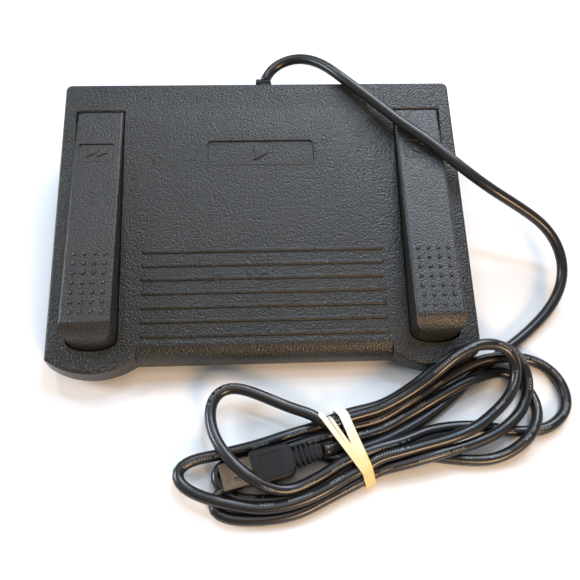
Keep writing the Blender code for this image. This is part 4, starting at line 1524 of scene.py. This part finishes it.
@dataclass
class Gland:
    """Moulded strain relief in the rear wall, in millimetres."""

    x: float = middle_of("cable_gland", 0)
    z: float = middle_of("cable_gland", 2)
    lug_x: float = -4.2     # left edge of the lug, from the gland's middle

    def ring(self, y: float, half_w: float, half_h: float, r: float) -> list[Point]:
        """Rounded section at y."""
        return [(self.x + w, y, self.z + h) for w, h in rounded_rect(-half_w, half_w, -half_h, half_h, r, 5)]

    def build(self) -> list[bpy.types.Object]:
        """Build the bushing and its locking lug."""
        stations = [(64.6, 4.9, 4.4, 1.6), (66.6, 4.9, 4.4, 1.6), (66.7, 3.9, 4.0, 1.6),
                    (69.2, 3.9, 4.0, 1.6), (69.3, 4.2, 4.3, 1.8), (69.6, 4.4, 4.5, 1.8),
                    (72.8, 4.4, 4.5, 1.8), (73.1, 4.2, 4.3, 1.8)]
        for k in range(3):
            y, w = 73.5 + 1.9 * k, 4.2 - 0.12 * k
            stations += [(y, 3.4, 3.4, 1.7), (y + 0.45, 3.4, 3.4, 1.7), (y + 0.6, w, w, 1.9),
                         (y + 1.5, w, w, 1.9), (y + 1.6, 3.4, 3.4, 1.7)]
        stations += [(79.3, 3.2, 3.2, 1.7), (80.0, 3.0, 3.0, 1.7)]
        bushing = loft("lead_gland", [self.ring(*station) for station in stations], Finish.RUBBER)
        x0 = self.x + self.lug_x
        face = rounded_rect(x0, x0 + 2.6, self.z + 1.0, self.z + 8.2, 1.25, 6)
        lug = loft("gland_lug", [[(x, y, z) for x, z in face] for y in (73.2, 75.8)], Finish.RUBBER)
        carve(lug, [], 0.4)
        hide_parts("cable_gland")
        for piece in (bushing, lug):
            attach(piece, Body.BASE.value)
        return [bushing, lug]


@dataclass
class LeadAssembly:
    """The lead with everything that sits on it."""

    lead: Lead = field(default_factory=Lead)
    plug: Plug = field(default_factory=Plug)
    gland: Gland = field(default_factory=Gland)
    strands: tuple[BandStrand, ...] = (
        BandStrand("band_turn_1", (19.5, -85.5), (43.0, -119.5), 2.5, 0.9, 0.35),
        BandStrand("band_turn_2", (32.5, -87.0), (43.8, -119.8), 4.6, 0.95, 0.0),
        BandStrand("band_turn_3", (23.5, -86.5), (44.6, -119.6), 1.7, 0.8, 0.25),
    )

    def build(self) -> list[bpy.types.Object]:
        path = self.lead.centreline()
        cord = self.lead.tube(path)
        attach(cord, Body.BASE.value)
        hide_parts("cable_lead", "cable_hank")
        plug = self.plug.build()
        gland = self.gland.build()
        turns = [strand.build(path, 0.5 * self.lead.diameter) for strand in self.strands]
        for turn in turns:
            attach(turn, Body.BASE.value)
        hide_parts("rubber_band")
        plug + gland + turns
        return [cord] + plug + gland + turns


# ---- carried-over CAD nodes -------------------------------------------------
NODE_FINISHES: dict[str, Finish] = {
    "base_tub": Finish.BASE,
    "ballast": Finish.STEEL,
    "board_screw": Finish.STEEL,
    "hinge_rod": Finish.STEEL,
    "foot_": Finish.RUBBER,
    "play_bumper": Finish.RUBBER,
    "circuit_board": Finish.BOARD,
    "controller_chip": Finish.EPOXY,
    "filter_capacitor": Finish.EPOXY,
    "crystal_can": Finish.NICKEL_PAINTED_SHADE,
    "cable_header": Finish.NYLON,
    "switch": Finish.SWITCH,
    "plunger": Finish.RED,
    "spring": Finish.WIRE,
    "inner_lead": Finish.OVERMOULD,
}


def dress_nodes(names: Iterable[str]) -> None:
    """Give every carried-over node its finish.

    Args:
        names: the model's node names.
    """
    for name in names:
        finish = next((f for key, f in NODE_FINISHES.items() if key in name), None)
        node = bpy.data.objects.get(name)
        if finish is None or node is None:
            continue
        node.data.materials.clear()
        node.data.materials.append(Paint.get(finish))
        LOG.info("finish %s on %s", finish.name, name)


# ---- floor, light and camera ------------------------------------------------
@dataclass
class Studio:
    """Pale floor, soft light and the camera."""

    aim: Point = (13.3, -24.1, 0.0)
    distance: float = 349.3
    azimuth: float = -6.2
    elevation: float = 63.27
    roll: float = 4.3
    lens: float = 42.87
    lit: Point = (0.02, -0.02, 0.02)    # where every light points, in metres
    floor_half: float = 4.0             # metres

    def build(self) -> None:
        """Set up everything that isn't part of the object."""
        self.floor()
        self.world()
        self.lights()
        self.camera()
        self.tone_curve()

    def tone_curve(self) -> None:
        """Show colours without a film-like roll-off."""
        bpy.context.scene.view_settings.view_transform = "Standard"

    def floor(self) -> None:
        """Plain pale floor."""
        graph = Graph("pale_floor")
        paint = graph.surface(Base_Color=rgba((0.86, 0.86, 0.86)), Roughness=0.85)
        mesh = bpy.data.meshes.new("floor")
        half = self.floor_half
        corners = [(-half, -half, 0), (half, -half, 0), (half, half, 0), (-half, half, 0)]
        mesh.from_pydata(corners, [], [(0, 1, 2, 3)])
        mesh.materials.append(paint)
        obj = bpy.data.objects.new("floor", mesh)
        bpy.context.scene.collection.objects.link(obj)

    def world(self) -> None:
        """Even pale surround."""
        world = bpy.data.worlds.new("surround")
        world.use_nodes = True
        back = world.node_tree.nodes["Background"]
        back.inputs["Color"].default_value = (0.93, 0.96, 1.0, 1.0)
        back.inputs["Strength"].default_value = 0.3
        bpy.context.scene.world = world

    def lights(self) -> None:
        """Cool light from behind and the left, warm light from the front and overhead."""
        self.panel("key", (0.5, 0.95, 0.95), 0.7, 15.0, (0.88, 0.94, 1.0))
        self.panel("left_fill", (-1.25, 0.15, 0.6), 0.42, 15.0, (0.74, 0.87, 1.0))
        self.panel("warm_fill", (0.5, -1.0, 0.62), 0.34, 11.0, (1.0, 0.64, 0.34))
        self.panel("rear_window", (0.27, 0.47, 1.18), 0.18, 3.8, (0.4, 0.66, 1.0))
        self.panel("left_window", (-0.36, 0.65, 1.05), 0.18, 2.9, (0.86, 0.92, 1.0))
        self.panel("ceiling_lamp", (-0.05, -0.02, 1.3), 0.42, 1.9, (1.0, 0.74, 0.48))

    def panel(self, name: str, place: Point, size: float, power: float, colour: Point) -> None:
        """Square area light aimed at the object.

        Args:
            name: the light's name.
            place: position, in metres.
            size: edge, in metres.
            power: watts.
            colour: light colour.
        """
        light = bpy.data.lights.new(name, "AREA")
        light.shape = "SQUARE"
        light.size = size
        light.energy = power
        light.color = colour
        obj = bpy.data.objects.new(name, light)
        obj.location = place
        obj.rotation_mode = "QUATERNION"
        obj.rotation_quaternion = (Vector(place) - Vector(self.lit)).to_track_quat("Z", "Y")
        bpy.context.scene.collection.objects.link(obj)

    def camera(self) -> None:
        """Camera high in front of the object and a little to its left."""
        az, el = math.radians(self.azimuth), math.radians(self.elevation)
        back = Vector((math.sin(az) * math.cos(el), -math.cos(az) * math.cos(el), math.sin(el)))
        data = bpy.data.cameras.new("camera")
        data.lens = self.lens
        data.sensor_width = 36.0
        data.clip_start = 0.01
        obj = bpy.data.objects.new("camera", data)
        obj.location = (Vector(self.aim) + back * self.distance) * MM
        obj.rotation_mode = "QUATERNION"
        turn = Quaternion((0.0, 0.0, 1.0), math.radians(self.roll))
        obj.rotation_quaternion = back.to_track_quat("Z", "Y") @ turn
        bpy.context.scene.collection.objects.link(obj)
        bpy.context.scene.camera = obj


def main() -> None:
    """Build every piece and report it."""
    Studio().build()
    made = LeadAssembly().build()
    made += Cover().build()
    made += SidePedal("left", -1, Body.LEFT).build()
    made += SidePedal("right", 1, Body.RIGHT).build()
    dress_nodes(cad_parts)
    for piece in made:
        LOG.info("%s: %d faces", piece.name, len(piece.data.polygons))


if __name__ == "__main__":
    main()
